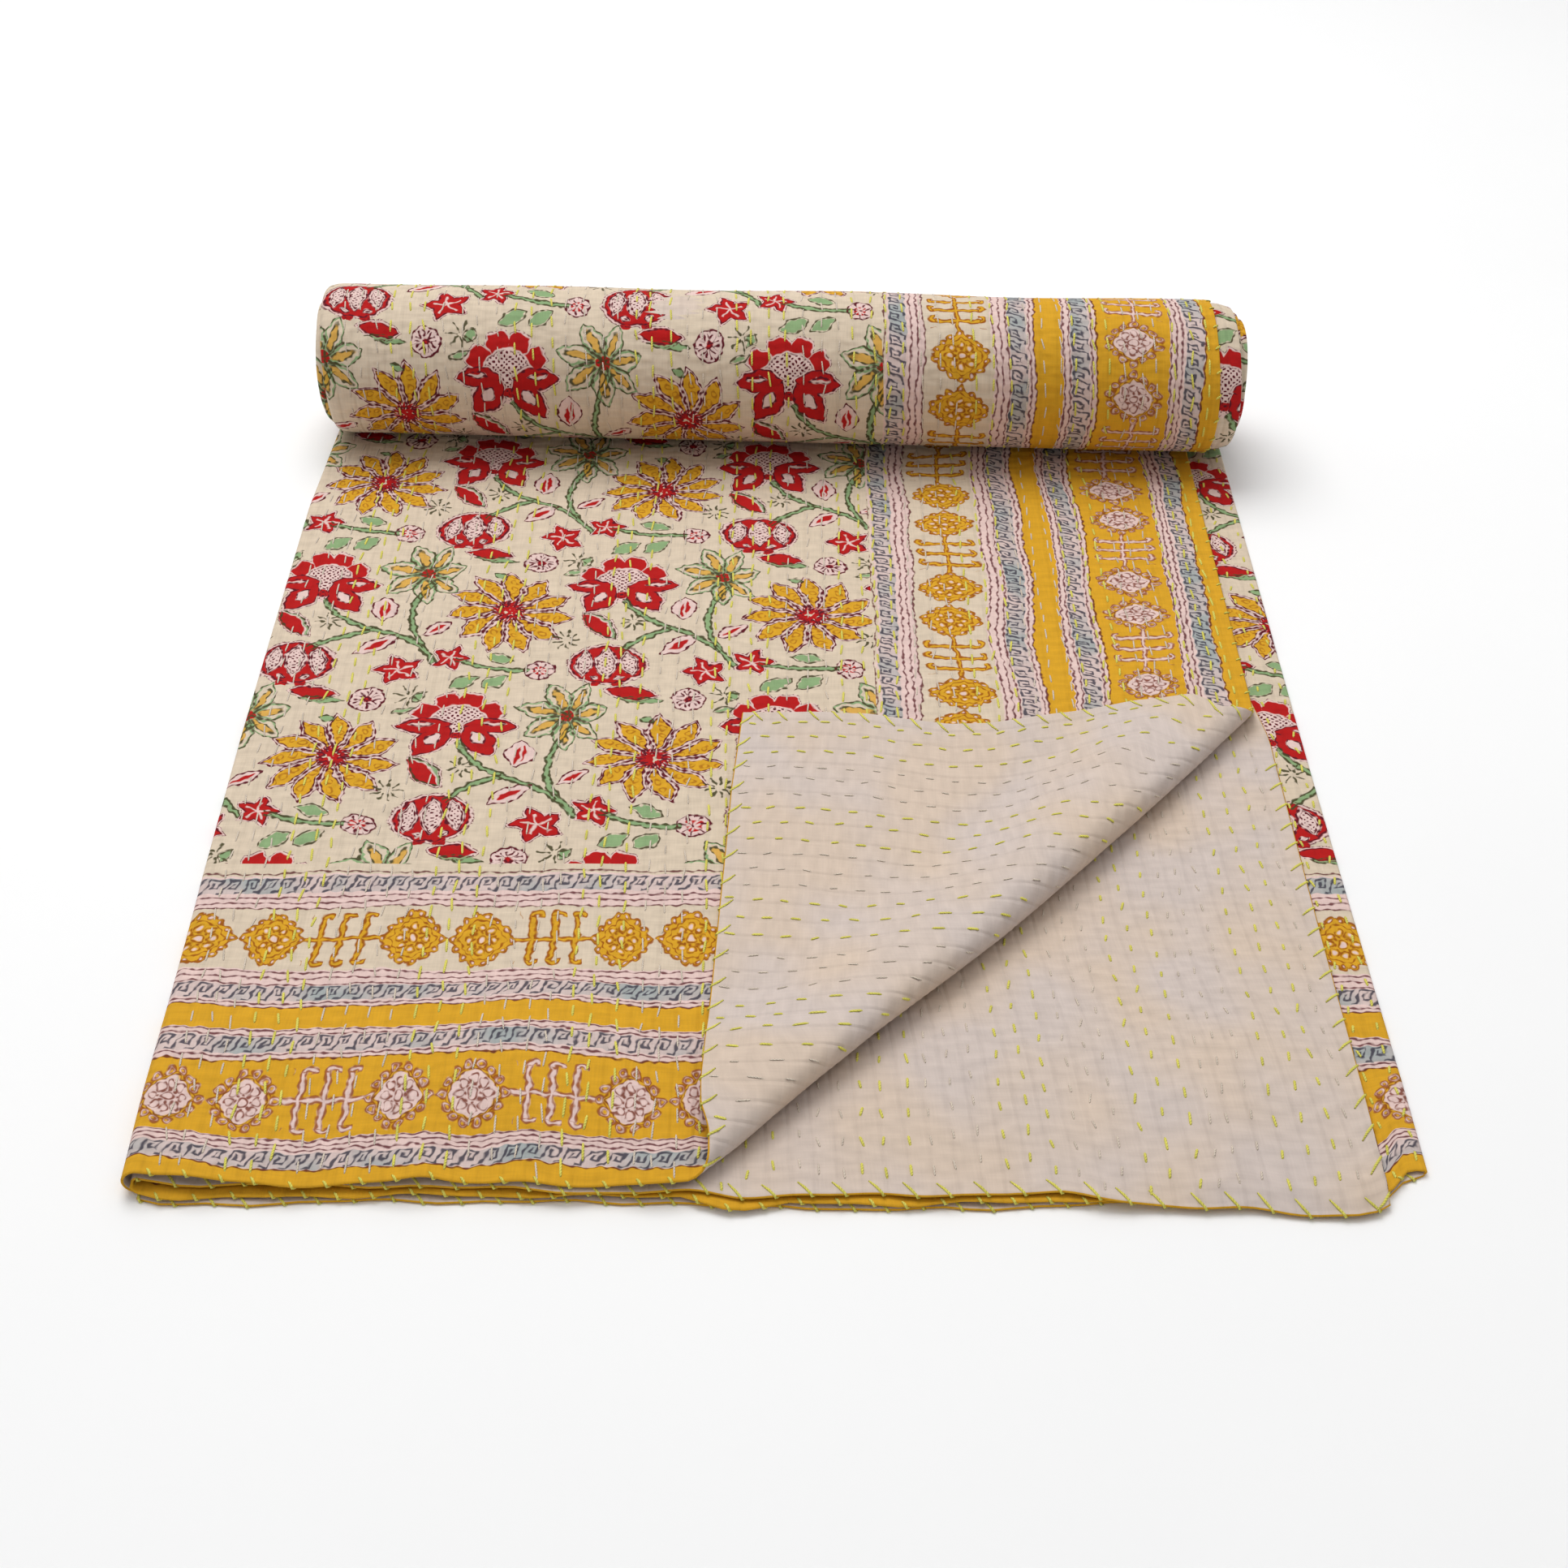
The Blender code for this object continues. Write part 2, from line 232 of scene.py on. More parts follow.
def forward(layer, x, y):
    """How far a layer's front stands out, with an uneven hem."""
    out = 0.001 * np.interp(x, np.array(HEM_AT) / 1000.0, HEMS_OUT[layer - 1])
    uneven = (0.0008 * np.sin(2.0 * math.pi * x / 0.083 + 2.1 * layer)
              + 0.0006 * np.sin(2.0 * math.pi * x / 0.041 + layer))
    return out * (1.0 - ease(y / 0.09)) + uneven * (1.0 - ease(y / 0.06))


def yaw(x, y):
    """The back is turned with the roll: further back on the left."""
    return ROLL_YAW * (FOLDED_WIDTH / 2.0 - x) * ease((y - 0.30) / (ROLL_Y - 0.30))


def left_line(along):
    """Middle line of the left folds: the outer fold's edge, and half the pack's height inwards."""
    outer = (height(1, 0.0, along) - height(4, 0.0, along)) / 2.0
    return left_edge(along) + outer + CLOTH / 2.0


def right_line(along):
    """Middle line of the right fold, which joins layers 3 and 4."""
    tight = (height(3, FOLDED_WIDTH, along) - height(4, FOLDED_WIDTH, along)) / 2.0
    return right_edge(along) - tight - CLOTH / 2.0


def to_frame(x, y, z):
    """Points in the frame, from the layers' own x, y and height."""
    return np.stack(np.broadcast_arrays(x + LEFT_FOLD, y + FRONT_HEM, z), axis=-1)


# ---- the turned corner --------------------------------------------------------------------------

def turn_axes():
    """Start, unit direction, unit outward direction and length of the fold line."""
    start = np.array(TURN_START)
    run = np.array(TURN_END) - start
    length = float(np.linalg.norm(run))
    along = run / length
    return start, along, np.array((along[1], -along[0])), length


def turn_corner(x, y):
    """Lays the cloth beyond the fold line back over itself.

    The fold line bows by TURN_BOW, and the bend's radius goes from BEND_RADIUS_LOW at the front hem over
    BEND_RADIUS to BEND_RADIUS_TIP. With s the distance past the line where the bend starts and r its
    radius: on the bend the cloth stands r sin(s/r) further out and r - r cos(s/r) up; past half a turn it
    runs back inwards, slides along the fold line by TURN_SLIDE of its way, and its height eases from 2r
    down to its resting height; its two hems bow a little from straight. Returns plan x, plan y and the
    rise over the layer."""
    start, along, out, length = turn_axes()
    share = ((x - start[0]) * along[0] + (y - start[1]) * along[1]) / length
    inside = np.clip(share, 0.0, 1.0)
    ends = BEND_RADIUS_LOW + (BEND_RADIUS_TIP - BEND_RADIUS_LOW) * inside
    radius = ends + (BEND_RADIUS - ends) * np.sin(math.pi * inside)
    radius = radius * (1.0 + 0.10 * np.sin(11.0 * share + 1.0))
    past = (x - start[0]) * out[0] + (y - start[1]) * out[1] - TURN_BOW * np.sin(math.pi * inside) + radius
    angle = np.clip(past / radius, 0.0, math.pi)
    back = np.clip(past - math.pi * radius, 0.0, None) * (1.0 + TURN_STRETCH)
    rest = CLOTH + FLAP_CLEAR + 0.0009 * waves(x, y, 5, 5, 0.07, 0.16)
    fallen = ease(back / FLAP_SETTLE)
    rise = radius * (1.0 - np.cos(angle)) * (1.0 - fallen) + rest * fallen
    outwards = radius * np.sin(angle) - back - np.clip(past, 0.0, None)
    slide = TURN_SLIDE * back
    bow_up = 0.001 * np.interp(y * 1000.0, TOP_BOW_AT, TOP_BOW)
    bow_up = bow_up * ease(1.0 - (HEM_ACROSS - x) / BOW_REACH) * ease(back / 0.015)
    bow_left = 0.001 * np.interp(x * 1000.0, SIDE_BOW_AT, SIDE_BOW)
    bow_left = bow_left * ease(1.0 - y / BOW_REACH) * ease(back / 0.015)
    turned = past > 0.0
    plan_x = x + np.where(turned, out[0] * outwards + along[0] * slide - bow_left, 0.0)
    plan_y = y + np.where(turned, out[1] * outwards + along[1] * slide + bow_up, 0.0)
    return plan_x, plan_y, np.where(turned, rise, 0.0)


def past_fold_line(x, y):
    """Distance past the fold line, negative on the side that stays flat."""
    start, _, out, _ = turn_axes()
    return (x - start[0]) * out[0] + (y - start[1]) * out[1]


# ---- sheets -------------------------------------------------------------------------------------

class Sheet:
    """A layer of cloth on a grid: mid points, cloth coordinates and unit normals."""

    def __init__(self, points, across, along, thickness):
        self.points = points
        self.across, self.along = np.broadcast_arrays(across, along)
        normal = np.cross(np.gradient(points, axis=0), np.gradient(points, axis=1))
        self.normals = normal / np.maximum(np.linalg.norm(normal, axis=-1, keepdims=True), 1e-12)
        self.thickness = thickness

    def at(self, across, along):
        """Points and normals at cloth coordinates, by bilinear steps between the grid's own; a place
        across is read off the grid's middle row."""
        rows = self.along[:, 0]
        columns = self.across[self.across.shape[0] // 2]
        row = np.interp(along, rows, np.arange(len(rows)))
        if columns[0] > columns[-1]:
            col = np.interp(-across, -columns, np.arange(len(columns)))
        else:
            col = np.interp(across, columns, np.arange(len(columns)))
        r0 = np.minimum(row.astype(int), len(rows) - 2)
        c0 = np.minimum(col.astype(int), len(columns) - 2)
        fr, fc = (row - r0)[:, None], (col - c0)[:, None]

        def mix(values):
            near = values[r0, c0] * (1 - fc) + values[r0, c0 + 1] * fc
            far = values[r0 + 1, c0] * (1 - fc) + values[r0 + 1, c0 + 1] * fc
            return near * (1 - fr) + far * fr

        normal = mix(self.normals)
        return mix(self.points), normal / np.linalg.norm(normal, axis=1, keepdims=True)


def link(piece):
    """Puts a piece in the scene."""
    bpy.context.scene.collection.objects.link(piece)
    return piece


def mesh_object(name, vertices, quads, uv=None, material_index=None, materials=()):
    """A mesh object from whole arrays; uv has one row a vertex."""
    mesh = bpy.data.meshes.new(name)
    mesh.vertices.add(len(vertices))
    mesh.vertices.foreach_set("co", np.ascontiguousarray(vertices, dtype=np.float32).ravel())
    count = len(quads)
    mesh.loops.add(4 * count)
    mesh.loops.foreach_set("vertex_index", np.ascontiguousarray(quads, dtype=np.int32).ravel())
    mesh.polygons.add(count)
    mesh.polygons.foreach_set("loop_start", np.arange(count, dtype=np.int32) * 4)
    mesh.polygons.foreach_set("loop_total", np.full(count, 4, dtype=np.int32))
    for material in materials:
        mesh.materials.append(material)
    if material_index is not None:
        mesh.polygons.foreach_set("material_index", np.ascontiguousarray(material_index, dtype=np.int32))
    mesh.update(calc_edges=True)
    if uv is not None:
        layer = mesh.uv_layers.new(name="Cloth")
        layer.data.foreach_set("uv", np.ascontiguousarray(uv[quads.ravel()], dtype=np.float32).ravel())
    mesh.shade_smooth()
    mesh.validate()
    return link(bpy.data.objects.new(name, mesh))


def grid_cells(rows, cols):
    """The quads of a grid of points, by row and then column."""
    index = np.arange(rows * cols).reshape(rows, cols)
    return np.stack((index[:-1, :-1], index[:-1, 1:], index[1:, 1:], index[1:, :-1]), -1).reshape(-1, 4)


def cloth_object(name, sheet, face_slots, materials):
    """A closed shell round a sheet: its face half a thickness out, its back half a thickness in, and a
    rounded rim. face_slots gives the material of each grid cell on the face, which the rim takes too;
    the back takes the last material."""
    rows, cols = sheet.points.shape[:2]
    half = np.broadcast_to(sheet.thickness, (rows, cols))[..., None] / 2.0
    face = sheet.points + sheet.normals * half
    back = sheet.points - sheet.normals * half
    ring = np.concatenate((
        np.stack((np.zeros(cols - 1, int), np.arange(cols - 1)), 1),
        np.stack((np.arange(rows - 1), np.full(rows - 1, cols - 1)), 1),
        np.stack((np.full(cols - 1, rows - 1), np.arange(cols - 1, 0, -1)), 1),
        np.stack((np.arange(rows - 1, 0, -1), np.zeros(rows - 1, int)), 1),
    ))
    step_in = np.stack((np.clip(ring[:, 0], 1, rows - 2), np.clip(ring[:, 1], 1, cols - 2)), 1)
    edge = sheet.points[ring[:, 0], ring[:, 1]]
    outwards = edge - sheet.points[step_in[:, 0], step_in[:, 1]]
    normal = sheet.normals[ring[:, 0], ring[:, 1]]
    outwards -= normal * (outwards * normal).sum(1, keepdims=True)
    outwards /= np.maximum(np.linalg.norm(outwards, axis=1, keepdims=True), 1e-12)
    rim = edge + outwards * half[ring[:, 0], ring[:, 1]]
    vertices = np.concatenate((face.reshape(-1, 3), back.reshape(-1, 3), rim))
    cell = grid_cells(rows, cols)
    on_ring = ring[:, 0] * cols + ring[:, 1]
    after = np.roll(np.arange(len(ring)), -1)
    rim_index = 2 * rows * cols + np.arange(len(ring))
    face_rim = np.stack((on_ring, rim_index, rim_index[after], on_ring[after]), -1)
    on_back = on_ring + rows * cols
    back_rim = np.stack((rim_index, on_back, on_back[after], rim_index[after]), -1)
    quads = np.concatenate((cell, cell[:, ::-1] + rows * cols, face_rim, back_rim))
    first = np.cross(face[0, 1] - face[0, 0], face[1, 0] - face[0, 0])
    if np.dot(first, sheet.normals[0, 0]) < 0:
        quads = quads[:, ::-1]
    uv = np.stack((sheet.across, sheet.along), -1).reshape(-1, 2)
    uv = np.concatenate((uv, uv, uv[on_ring]))
    face_slots = np.asarray(face_slots).reshape(rows - 1, cols - 1)
    rim_slots = face_slots[np.minimum(ring[:, 0], rows - 2), np.minimum(ring[:, 1], cols - 2)]
    slots = np.concatenate((face_slots.ravel(), np.full(len(cell), len(materials) - 1), rim_slots, rim_slots))
    return mesh_object(name, vertices, quads, uv, slots, materials)


def print_slots(across, along):
    """Slot 0, flowers, or 1, border, for each cell of a grid, from the cell's middle."""
    mid_across = (across[:-1, :-1] + across[1:, 1:]) / 2.0
    mid_along = (along[:-1, :-1] + along[1:, 1:]) / 2.0
    side = HEM_ACROSS - mid_across
    edge = np.minimum(np.minimum(side, CLOTH_WIDTH - side), np.minimum(mid_along, CLOTH_LENGTH - mid_along))
    return (edge < BORDER).astype(int)


# ---- the pieces of the cloth --------------------------------------------------------------------

HEM_STATIONS = np.array((0.0, 0.0008, 0.0024))   # the first stations in from a hem
TOP_STEP = 0.0037                                # the top layer's grid


def half_turn_section(x_mid, low, high, side, angle):
    """A fold of the section: (x, height) at an angle from its lower side."""
    middle, radius = (low + high) / 2.0, (high - low) / 2.0
    return x_mid + side * np.abs(radius) * np.sin(angle), middle - radius * np.cos(angle)


def flat_rows(fine, coarse):
    """Stations along the flat part, closer at the front hem and up to the top of the turned corner."""
    return joined(
        HEM_STATIONS,
        spaced(HEM_STATIONS[-1], BORDER, fine),
        spaced(BORDER, 0.37, fine),
        spaced(0.37, FLAT_END, coarse),
    )


def top_layer_sheet():
    """Layer 1: across its width, then round the outer left fold down to the surface."""
    along = flat_rows(TOP_STEP, TOP_STEP)[:, None]
    fold_x = left_line(along)
    border_x = HEM_ACROSS - BORDER
    share_border = joined(HEM_STATIONS / BORDER, spaced(HEM_STATIONS[-1] / BORDER, 1.0, TOP_STEP / BORDER))
    share_field = spaced(0.0, 1.0, TOP_STEP / 0.345)
    across_border = HEM_ACROSS - BORDER * share_border
    across = np.concatenate((
        np.broadcast_to(across_border, (len(along), len(across_border))),
        border_x + (fold_x - border_x) * share_field[1:],
    ), axis=1)
    lumps = 0.00035 * waves(across, along, 11, 9, 0.028, 0.09) * ease(along / 0.03)
    x, y, rise = turn_corner(across, np.broadcast_to(along, across.shape))
    z = height(1, x, np.maximum(y, 0.0)) + rise + lumps
    # round the outer fold
    angle = np.linspace(math.pi, 0.0, 13)[1:]
    low, high = height(4, fold_x, along), height(1, fold_x, along)
    arc_x, arc_z = half_turn_section(fold_x, low, high, -1, angle)
    arc_across = fold_x - (math.pi - angle) * (high - low) / 2.0
    x = np.concatenate((x, arc_x), 1)
    z = np.concatenate((z, arc_z), 1)
    y = np.concatenate((y, np.broadcast_to(along, arc_x.shape)), 1)
    across = np.concatenate((across, arc_across), 1)
    lies_flat = np.concatenate((1.0 - ease(rise / 0.004), np.ones(arc_x.shape)), 1)
    y = y - forward(1, x, y) * lies_flat + yaw(x, y)
    return Sheet(to_frame(x, y, z), across, along, CLOTH)


def inner_layers_sheet():
    """Right fold from the surface up (a), layer 3 (b), the inner left fold (c), and layer 2 to its hem (d).

    Layer 2 has lumps, a crease that goes on from the turned corner's tip, and a droop at its front right."""
    along = flat_rows(0.0042, 0.008)[:, None]
    left, right = left_line(along), right_line(along)
    angle = np.linspace(0.0, math.pi, 9)
    x_a, z_a = half_turn_section(right, height(4, right, along), height(3, right, along), 1, angle)
    share = joined(spaced(0.0, 0.11, 0.007), spaced(0.11, 1.0, 0.017))[1:]
    x_b = right + (left - right) * share
    z_b = height(3, x_b, along)
    x_c, z_c = half_turn_section(left, height(3, left, along), height(2, left, along), -1, angle[1:])
    share = joined(spaced(0.0, 0.42, 0.017), spaced(0.42, 0.9957, 0.0075),
                   np.array((0.9957, 0.9986, 1.0)))[1:]
    hem = HEM_2 + (HEM_2_BACK - HEM_2) * ease((along - 0.31) / 0.06)
    x_d = left + (hem - left) * share
    lumps = 0.0003 * waves(x_d, along, 12, 9, 0.026, 0.08) * ease((hem - x_d) / 0.02 + 0.3)
    from_crease = along - 0.296 - 0.04 * (x_d - 0.5)
    crease = -0.0004 * np.exp(-(from_crease / 0.004) ** 2) * ease((x_d - 0.40) / 0.05)
    droop = -0.0032 * ease((x_d - 0.44) / 0.06) * ease(1.0 - along / 0.010)
    z_d = height(2, x_d, along) + (lumps + crease) * ease(along / 0.03) + droop
    x = np.concatenate((x_a, x_b, x_c, x_d), 1)
    z = np.concatenate((z_a, z_b, z_c, z_d), 1)
    layer_3 = x_a.shape[1] + x_b.shape[1] + x_c.shape[1] // 2
    layer_3_at = CLOTH_OF_LAYER[2][1]
    across = np.concatenate((
        (right + layer_3_at) + (math.pi - angle) * 0.001,
        x_b + layer_3_at,
        (left + layer_3_at) - angle[1:] * 0.001,
        (left + layer_3_at) - 0.003 - (x_d - left),
    ), 1)
    toe = np.concatenate((
        np.broadcast_to(forward(3, x[:, :layer_3], along), (len(along), layer_3)),
        np.broadcast_to(forward(2, x[:, layer_3:], along), (len(along), x.shape[1] - layer_3)),
    ), 1)
    y = along - toe + yaw(x, along)
    return Sheet(to_frame(x, y, z), across, along, CLOTH)


TURN_SEEN = 0.40              # the turned corner reaches this far along the cloth
STRIP_SEEN = -0.66            # layer 3's printed side is sewn from here to the right fold


def layer_2_x(across):
    """Plan x of a place on the second layer; places on the third come out far to the left."""
    return np.where(across < -1.162, -1.158 - across, -1.0)


def bottom_layer_sheet():
    """Layer 4, flat on the surface, face down."""
    along = flat_rows(0.009, 0.02)[:, None]
    left, right = left_line(along), right_line(along)
    x = left + (right - left) * spaced(0.0, 1.0, 0.018)
    y = along - forward(4, x, along) + yaw(x, along)
    return Sheet(to_frame(x, y, height(4, x, along)), CLOTH_OF_LAYER[3][1] - x, along, CLOTH)


# ---- the rolled part ----------------------------------------------------------------------------

TURN_Y = ROLL_Y + TURN_BACK
PIVOT = PACK + TURN_SLACK
TURN_LENGTH = math.pi * (PACK / 2.0 + TURN_SLACK)
S_TURN = TURN_Y - FLAT_END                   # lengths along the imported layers, from FLAT_END
S_BACK = S_TURN + TURN_LENGTH
S_ROLL = S_BACK + TURN_BACK
ROLL_MIDDLE = PACK + ROLL_RADIUS * ROLL_FLATTEN   # height of the roll's axis
FIRST_TURN_END = S_ROLL + ROLL_RADIUS * (2.0 * math.pi + 0.35)


def layer_level(layer, wound):
    """A layer's mid height as a share of the pack: flat, and as evenly wound in the roll."""
    flat = (CLOTH / 2.0 + (4 - layer) * (CLOTH + GAP_PRESSED)) / PACK
    return flat * (1.0 - wound) + (4.5 - layer) / 4.0 * wound


def winding(s):
    """0 while the layers lie flat, easing to 1 where the roll begins."""
    return ease((s - S_BACK) / TURN_BACK)


def packed_path(s, level):
    """y, height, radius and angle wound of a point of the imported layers.

    s is the length along the pack, level its share of the pack's height. The pack runs flat, turns
    back over itself round a pivot, runs forward to the roll's touching line, and winds up in a spiral
    whose radius falls by ROLL_PITCH a turn."""
    angle = np.clip((s - S_TURN) / (S_BACK - S_TURN), 0.0, 1.0) * math.pi
    deep = PIVOT - level * PACK
    y = np.minimum(FLAT_END + s, TURN_Y) + deep * np.sin(angle)
    z = PIVOT - deep * np.cos(angle)
    back = np.clip(s - S_BACK, 0.0, TURN_BACK)
    wound = winding(s)
    pack = PACK + (ROLL_PITCH - PACK) * wound
    floor = PACK + 2.0 * TURN_SLACK * (1.0 - wound)
    on_way = s > S_BACK
    y = np.where(on_way, TURN_Y - back, y)
    z = np.where(on_way, floor + (1.0 - level) * pack, z)
    psi = np.clip((s - S_ROLL) / ROLL_RADIUS, 0.0, None)
    radius = ROLL_RADIUS - ROLL_PITCH * (psi / (2.0 * math.pi) + 1.0 - level)
    in_roll = s > S_ROLL
    y = np.where(in_roll, ROLL_Y - radius * np.sin(psi), y)
    z = np.where(in_roll, ROLL_MIDDLE - radius * ROLL_FLATTEN * np.cos(psi), z)
    return y, z, np.where(in_roll, radius, 0.0), psi


def roll_along(s):
    """Cloth length at s: even up to the roll, then the spiral's own length."""
    psi = np.clip((s - S_ROLL) / ROLL_RADIUS, 0.0, None)
    before = np.clip(s / S_ROLL, 0.0, 1.0) * (ROLL_ALONG - FLAT_END)
    return FLAT_END + before + ROLL_RADIUS * psi - ROLL_PITCH * psi * psi / (4.0 * math.pi)


def roll_shell(s, target, share, level, bulge):
    """Points of the wound layers.

    Columns are a share of the way from the left fold to a target edge (1 top hem, 2 second hem, 3
    right fold), at a level of the pack, with the folds' bulge sideways. The ends are rounded: the
    outer turns stand back, and dip towards the axis over their last stretch."""
    s = s[:, None]
    wound = winding(s)
    flat_left = left_edge(0.66) + PACK / 2.0
    left = flat_left + (ROLL_LEFT + ROLL_PITCH / 2.0 - flat_left) * wound
    edges = np.stack((
        HEM_ACROSS + (ROLL_HEM - HEM_ACROSS) * wound,
        HEM_2_BACK + (ROLL_HEM_2 - HEM_2_BACK) * wound,
        FOLDED_WIDTH - 0.0016 + (ROLL_RIGHT - 0.0009 - FOLDED_WIDTH + 0.0016) * wound,
    ), -1)[:, 0, :]
    x = left + (edges[:, target - 1] - left) * share
    y, z, radius, psi = packed_path(s, level)
    drift = 0.0013 * np.sin(1.27 * psi + 0.6) + 0.0009 * np.sin(0.41 * psi + 2.0)
    drift = drift * ease(psi / 2.0)
    half = (ROLL_RIGHT - ROLL_LEFT) / 2.0
    middle = (ROLL_RIGHT + ROLL_LEFT) / 2.0
    inset = RIM_INSET * np.clip((radius - 0.030) / 0.018, 0.0, 1.0) ** 2
    stand_out = bulge * (PACK + (ROLL_PITCH - PACK) * wound) / 2.0
    x = middle + (x - middle) * (1.0 - inset / half) + stand_out + drift
    to_end = half - np.abs(x - middle - drift)
    dip = RIM_DIP * ease(1.0 - to_end / RIM_REACH) ** 1.5 * (radius / ROLL_RADIUS) ** 2
    slack = 0.0007 * waves(x, ROLL_RADIUS * psi, 21, 6, 0.08, 0.25) * ease(psi / 1.5) * (radius > 0)
    reach = radius * (1.0 - dip) + slack
    y = np.where(radius > 0, ROLL_Y - reach * np.sin(psi), y)
    z = np.where(radius > 0, ROLL_MIDDLE - reach * ROLL_FLATTEN * np.cos(psi), z)
    return x, y + ROLL_YAW * (FOLDED_WIDTH / 2.0 - x), z


def wound_sheet(s, runs):
    """A sheet from runs of columns, each (target, share, level, bulge, (sign, offset)), end to end;
    the place across the cloth is sign * x + offset, and the cloth is thinner where it is wound."""
    target, share, bulge = (np.concatenate([np.asarray(run[i], float) for run in runs]) for i in (0, 1, 3))
    wound = winding(s)[:, None]
    level = np.concatenate([run[2](wound) for run in runs], axis=1)
    x, y, z = roll_shell(s, target.astype(int), share[None, :], level, bulge[None, :])
    sign, offset = (np.concatenate([np.full(len(run[1]), run[4][i]) for run in runs]) for i in (0, 1))
    across = sign * (x - ROLL_SHIFT * wound) + offset
    along = np.broadcast_to(roll_along(s)[:, None], x.shape)
    return Sheet(to_frame(x, y, z), across, along, CLOTH + (ROLL_CLOTH - CLOTH) * wound)


def straight_run(layer, target, shares):
    """One layer, straight from fold to hem."""
    def level(wound):
        return layer_level(layer, wound) + 0.0 * shares[None, :]

    return np.full(len(shares), target), shares, level, np.zeros(len(shares)), CLOTH_OF_LAYER[layer - 1]


def fold_run(target, share, upper, lower, side, steps, upwards):
    """Round a fold between two layers, upwards or downwards."""
    angle = np.linspace(0.0, math.pi, steps + 1)
    if not upwards:
        angle = angle[::-1]

    def level(wound):
        low, high = layer_level(lower, wound), layer_level(upper, wound)
        return (low + high) / 2.0 - (high - low) / 2.0 * np.cos(angle)[None, :]

    reach = abs(upper - lower) / 4.0
    return (np.full(steps + 1, target), np.full(steps + 1, share), level, side * reach * np.sin(angle),
            CLOTH_OF_LAYER[upper - 1])


def first_turn(flat_step, roll_step):
    """Lengths along the pack, from FLAT_END to a little past once round the roll."""
    return joined(spaced(0.0, S_TURN, flat_step), spaced(S_TURN, S_BACK, TURN_LENGTH / 8.0),
                  spaced(S_BACK, S_ROLL, flat_step), spaced(S_ROLL, FIRST_TURN_END, roll_step))


def roll_outer_sheet():
    """The top layer under the roll and once round it, print outwards, with its left fold."""
    border_share = 1.0 - BORDER / (ROLL_HEM - ROLL_LEFT - ROLL_PITCH / 2.0)
    shares = joined(np.array((1.0, 0.9985, 0.996)), spaced(0.996, border_share, 0.0066),
                    spaced(border_share, 0.0, 0.0066))
    runs = [straight_run(1, 1, shares), fold_run(1, 0.0, 1, 4, -1, 10, False)]
    return wound_sheet(first_turn(0.005, 0.0038), runs)


EDGE_SHARES = np.array((0.0, 0.012, 0.035, 0.09, 0.25, 0.5, 0.75, 0.91, 0.965, 0.988, 1.0))


def roll_inner_sheet():
    """The other three layers of the first turn."""
    runs = [
        straight_run(4, 3, EDGE_SHARES),
        fold_run(3, 1.0, 3, 4, 1, 6, True),
        straight_run(3, 3, EDGE_SHARES[::-1]),
        fold_run(3, 0.0, 2, 3, -1, 6, True),
        straight_run(2, 2, EDGE_SHARES),
    ]
    return wound_sheet(first_turn(0.012, 0.0055), runs)


def roll_core_sheet():
    """All four layers of the later turns, to the middle of the roll."""
    start = S_ROLL + ROLL_RADIUS * (2.0 * math.pi + 0.30)
    end = S_ROLL + ROLL_RADIUS * 2.0 * math.pi * ROLL_TURNS
    s = np.linspace(start, end, int((ROLL_TURNS - 1.05) * 44))
    runs = [
        straight_run(1, 1, EDGE_SHARES[::-1]),
        fold_run(1, 0.0, 1, 4, -1, 8, False),
        straight_run(4, 3, EDGE_SHARES[1:]),
        fold_run(3, 1.0, 3, 4, 1, 6, True),
        straight_run(3, 3, EDGE_SHARES[::-1][1:]),
        fold_run(3, 0.0, 2, 3, -1, 6, True),
        straight_run(2, 2, EDGE_SHARES[1:]),
    ]
    return wound_sheet(s, runs)


# ---- arithmetic in shader nodes -----------------------------------------------------------------

class Number:
    """A value that changes over the cloth: a node's output, with arithmetic that adds Math nodes."""

    def __init__(self, tree, socket):
        self.tree = tree
        self.socket = socket

    def __add__(self, other):
        return calculate("ADD", self, other)

    def __sub__(self, other):
        return calculate("SUBTRACT", self, other)

    def __rsub__(self, other):
        return calculate("SUBTRACT", other, self)

    def __mul__(self, other):
        return calculate("MULTIPLY", self, other)

    def __truediv__(self, other):
        return calculate("DIVIDE", self, other)

    def __gt__(self, other):
        return calculate("GREATER_THAN", self, other)

    def __lt__(self, other):
        return calculate("LESS_THAN", self, other)

    def __abs__(self):
        return calculate("ABSOLUTE", self)

    __radd__ = __add__
    __rmul__ = __mul__


def add_node(tree, kind, **settings):
    """A node of a kind, in tidy columns in the order of making."""
    count = len(tree.nodes)
    node = tree.nodes.new("ShaderNode" + kind)
    node.location = (170.0 * (count // 10), -190.0 * (count % 10))
    for name, value in settings.items():
        setattr(node, name, value)
    return node


def feed(sockets, values):
    """Links or sets input sockets, one value each."""
    for socket, value in zip(sockets, values):
        if isinstance(value, Number):
            value.tree.links.new(value.socket, socket)
        else:
            socket.default_value = value


def calculate(operation, *values, clamp=False):
    """A Math node on numbers and plain values."""
    tree = next(value.tree for value in values if isinstance(value, Number))
    node = add_node(tree, "Math", operation=operation, use_clamp=clamp)
    feed(node.inputs, values)
    return Number(tree, node.outputs[0])


def vector(operation, *values, scale=None):
    """A Vector Math node; lengths come back as a plain number."""
    tree = next(value.tree for value in values if isinstance(value, Number))
    node = add_node(tree, "VectorMath", operation=operation)
    feed(node.inputs, values)
    if scale is not None:
        feed([node.inputs["Scale"]], [scale])
    return Number(tree, node.outputs["Value" if operation in ("LENGTH", "DOT_PRODUCT") else "Vector"])


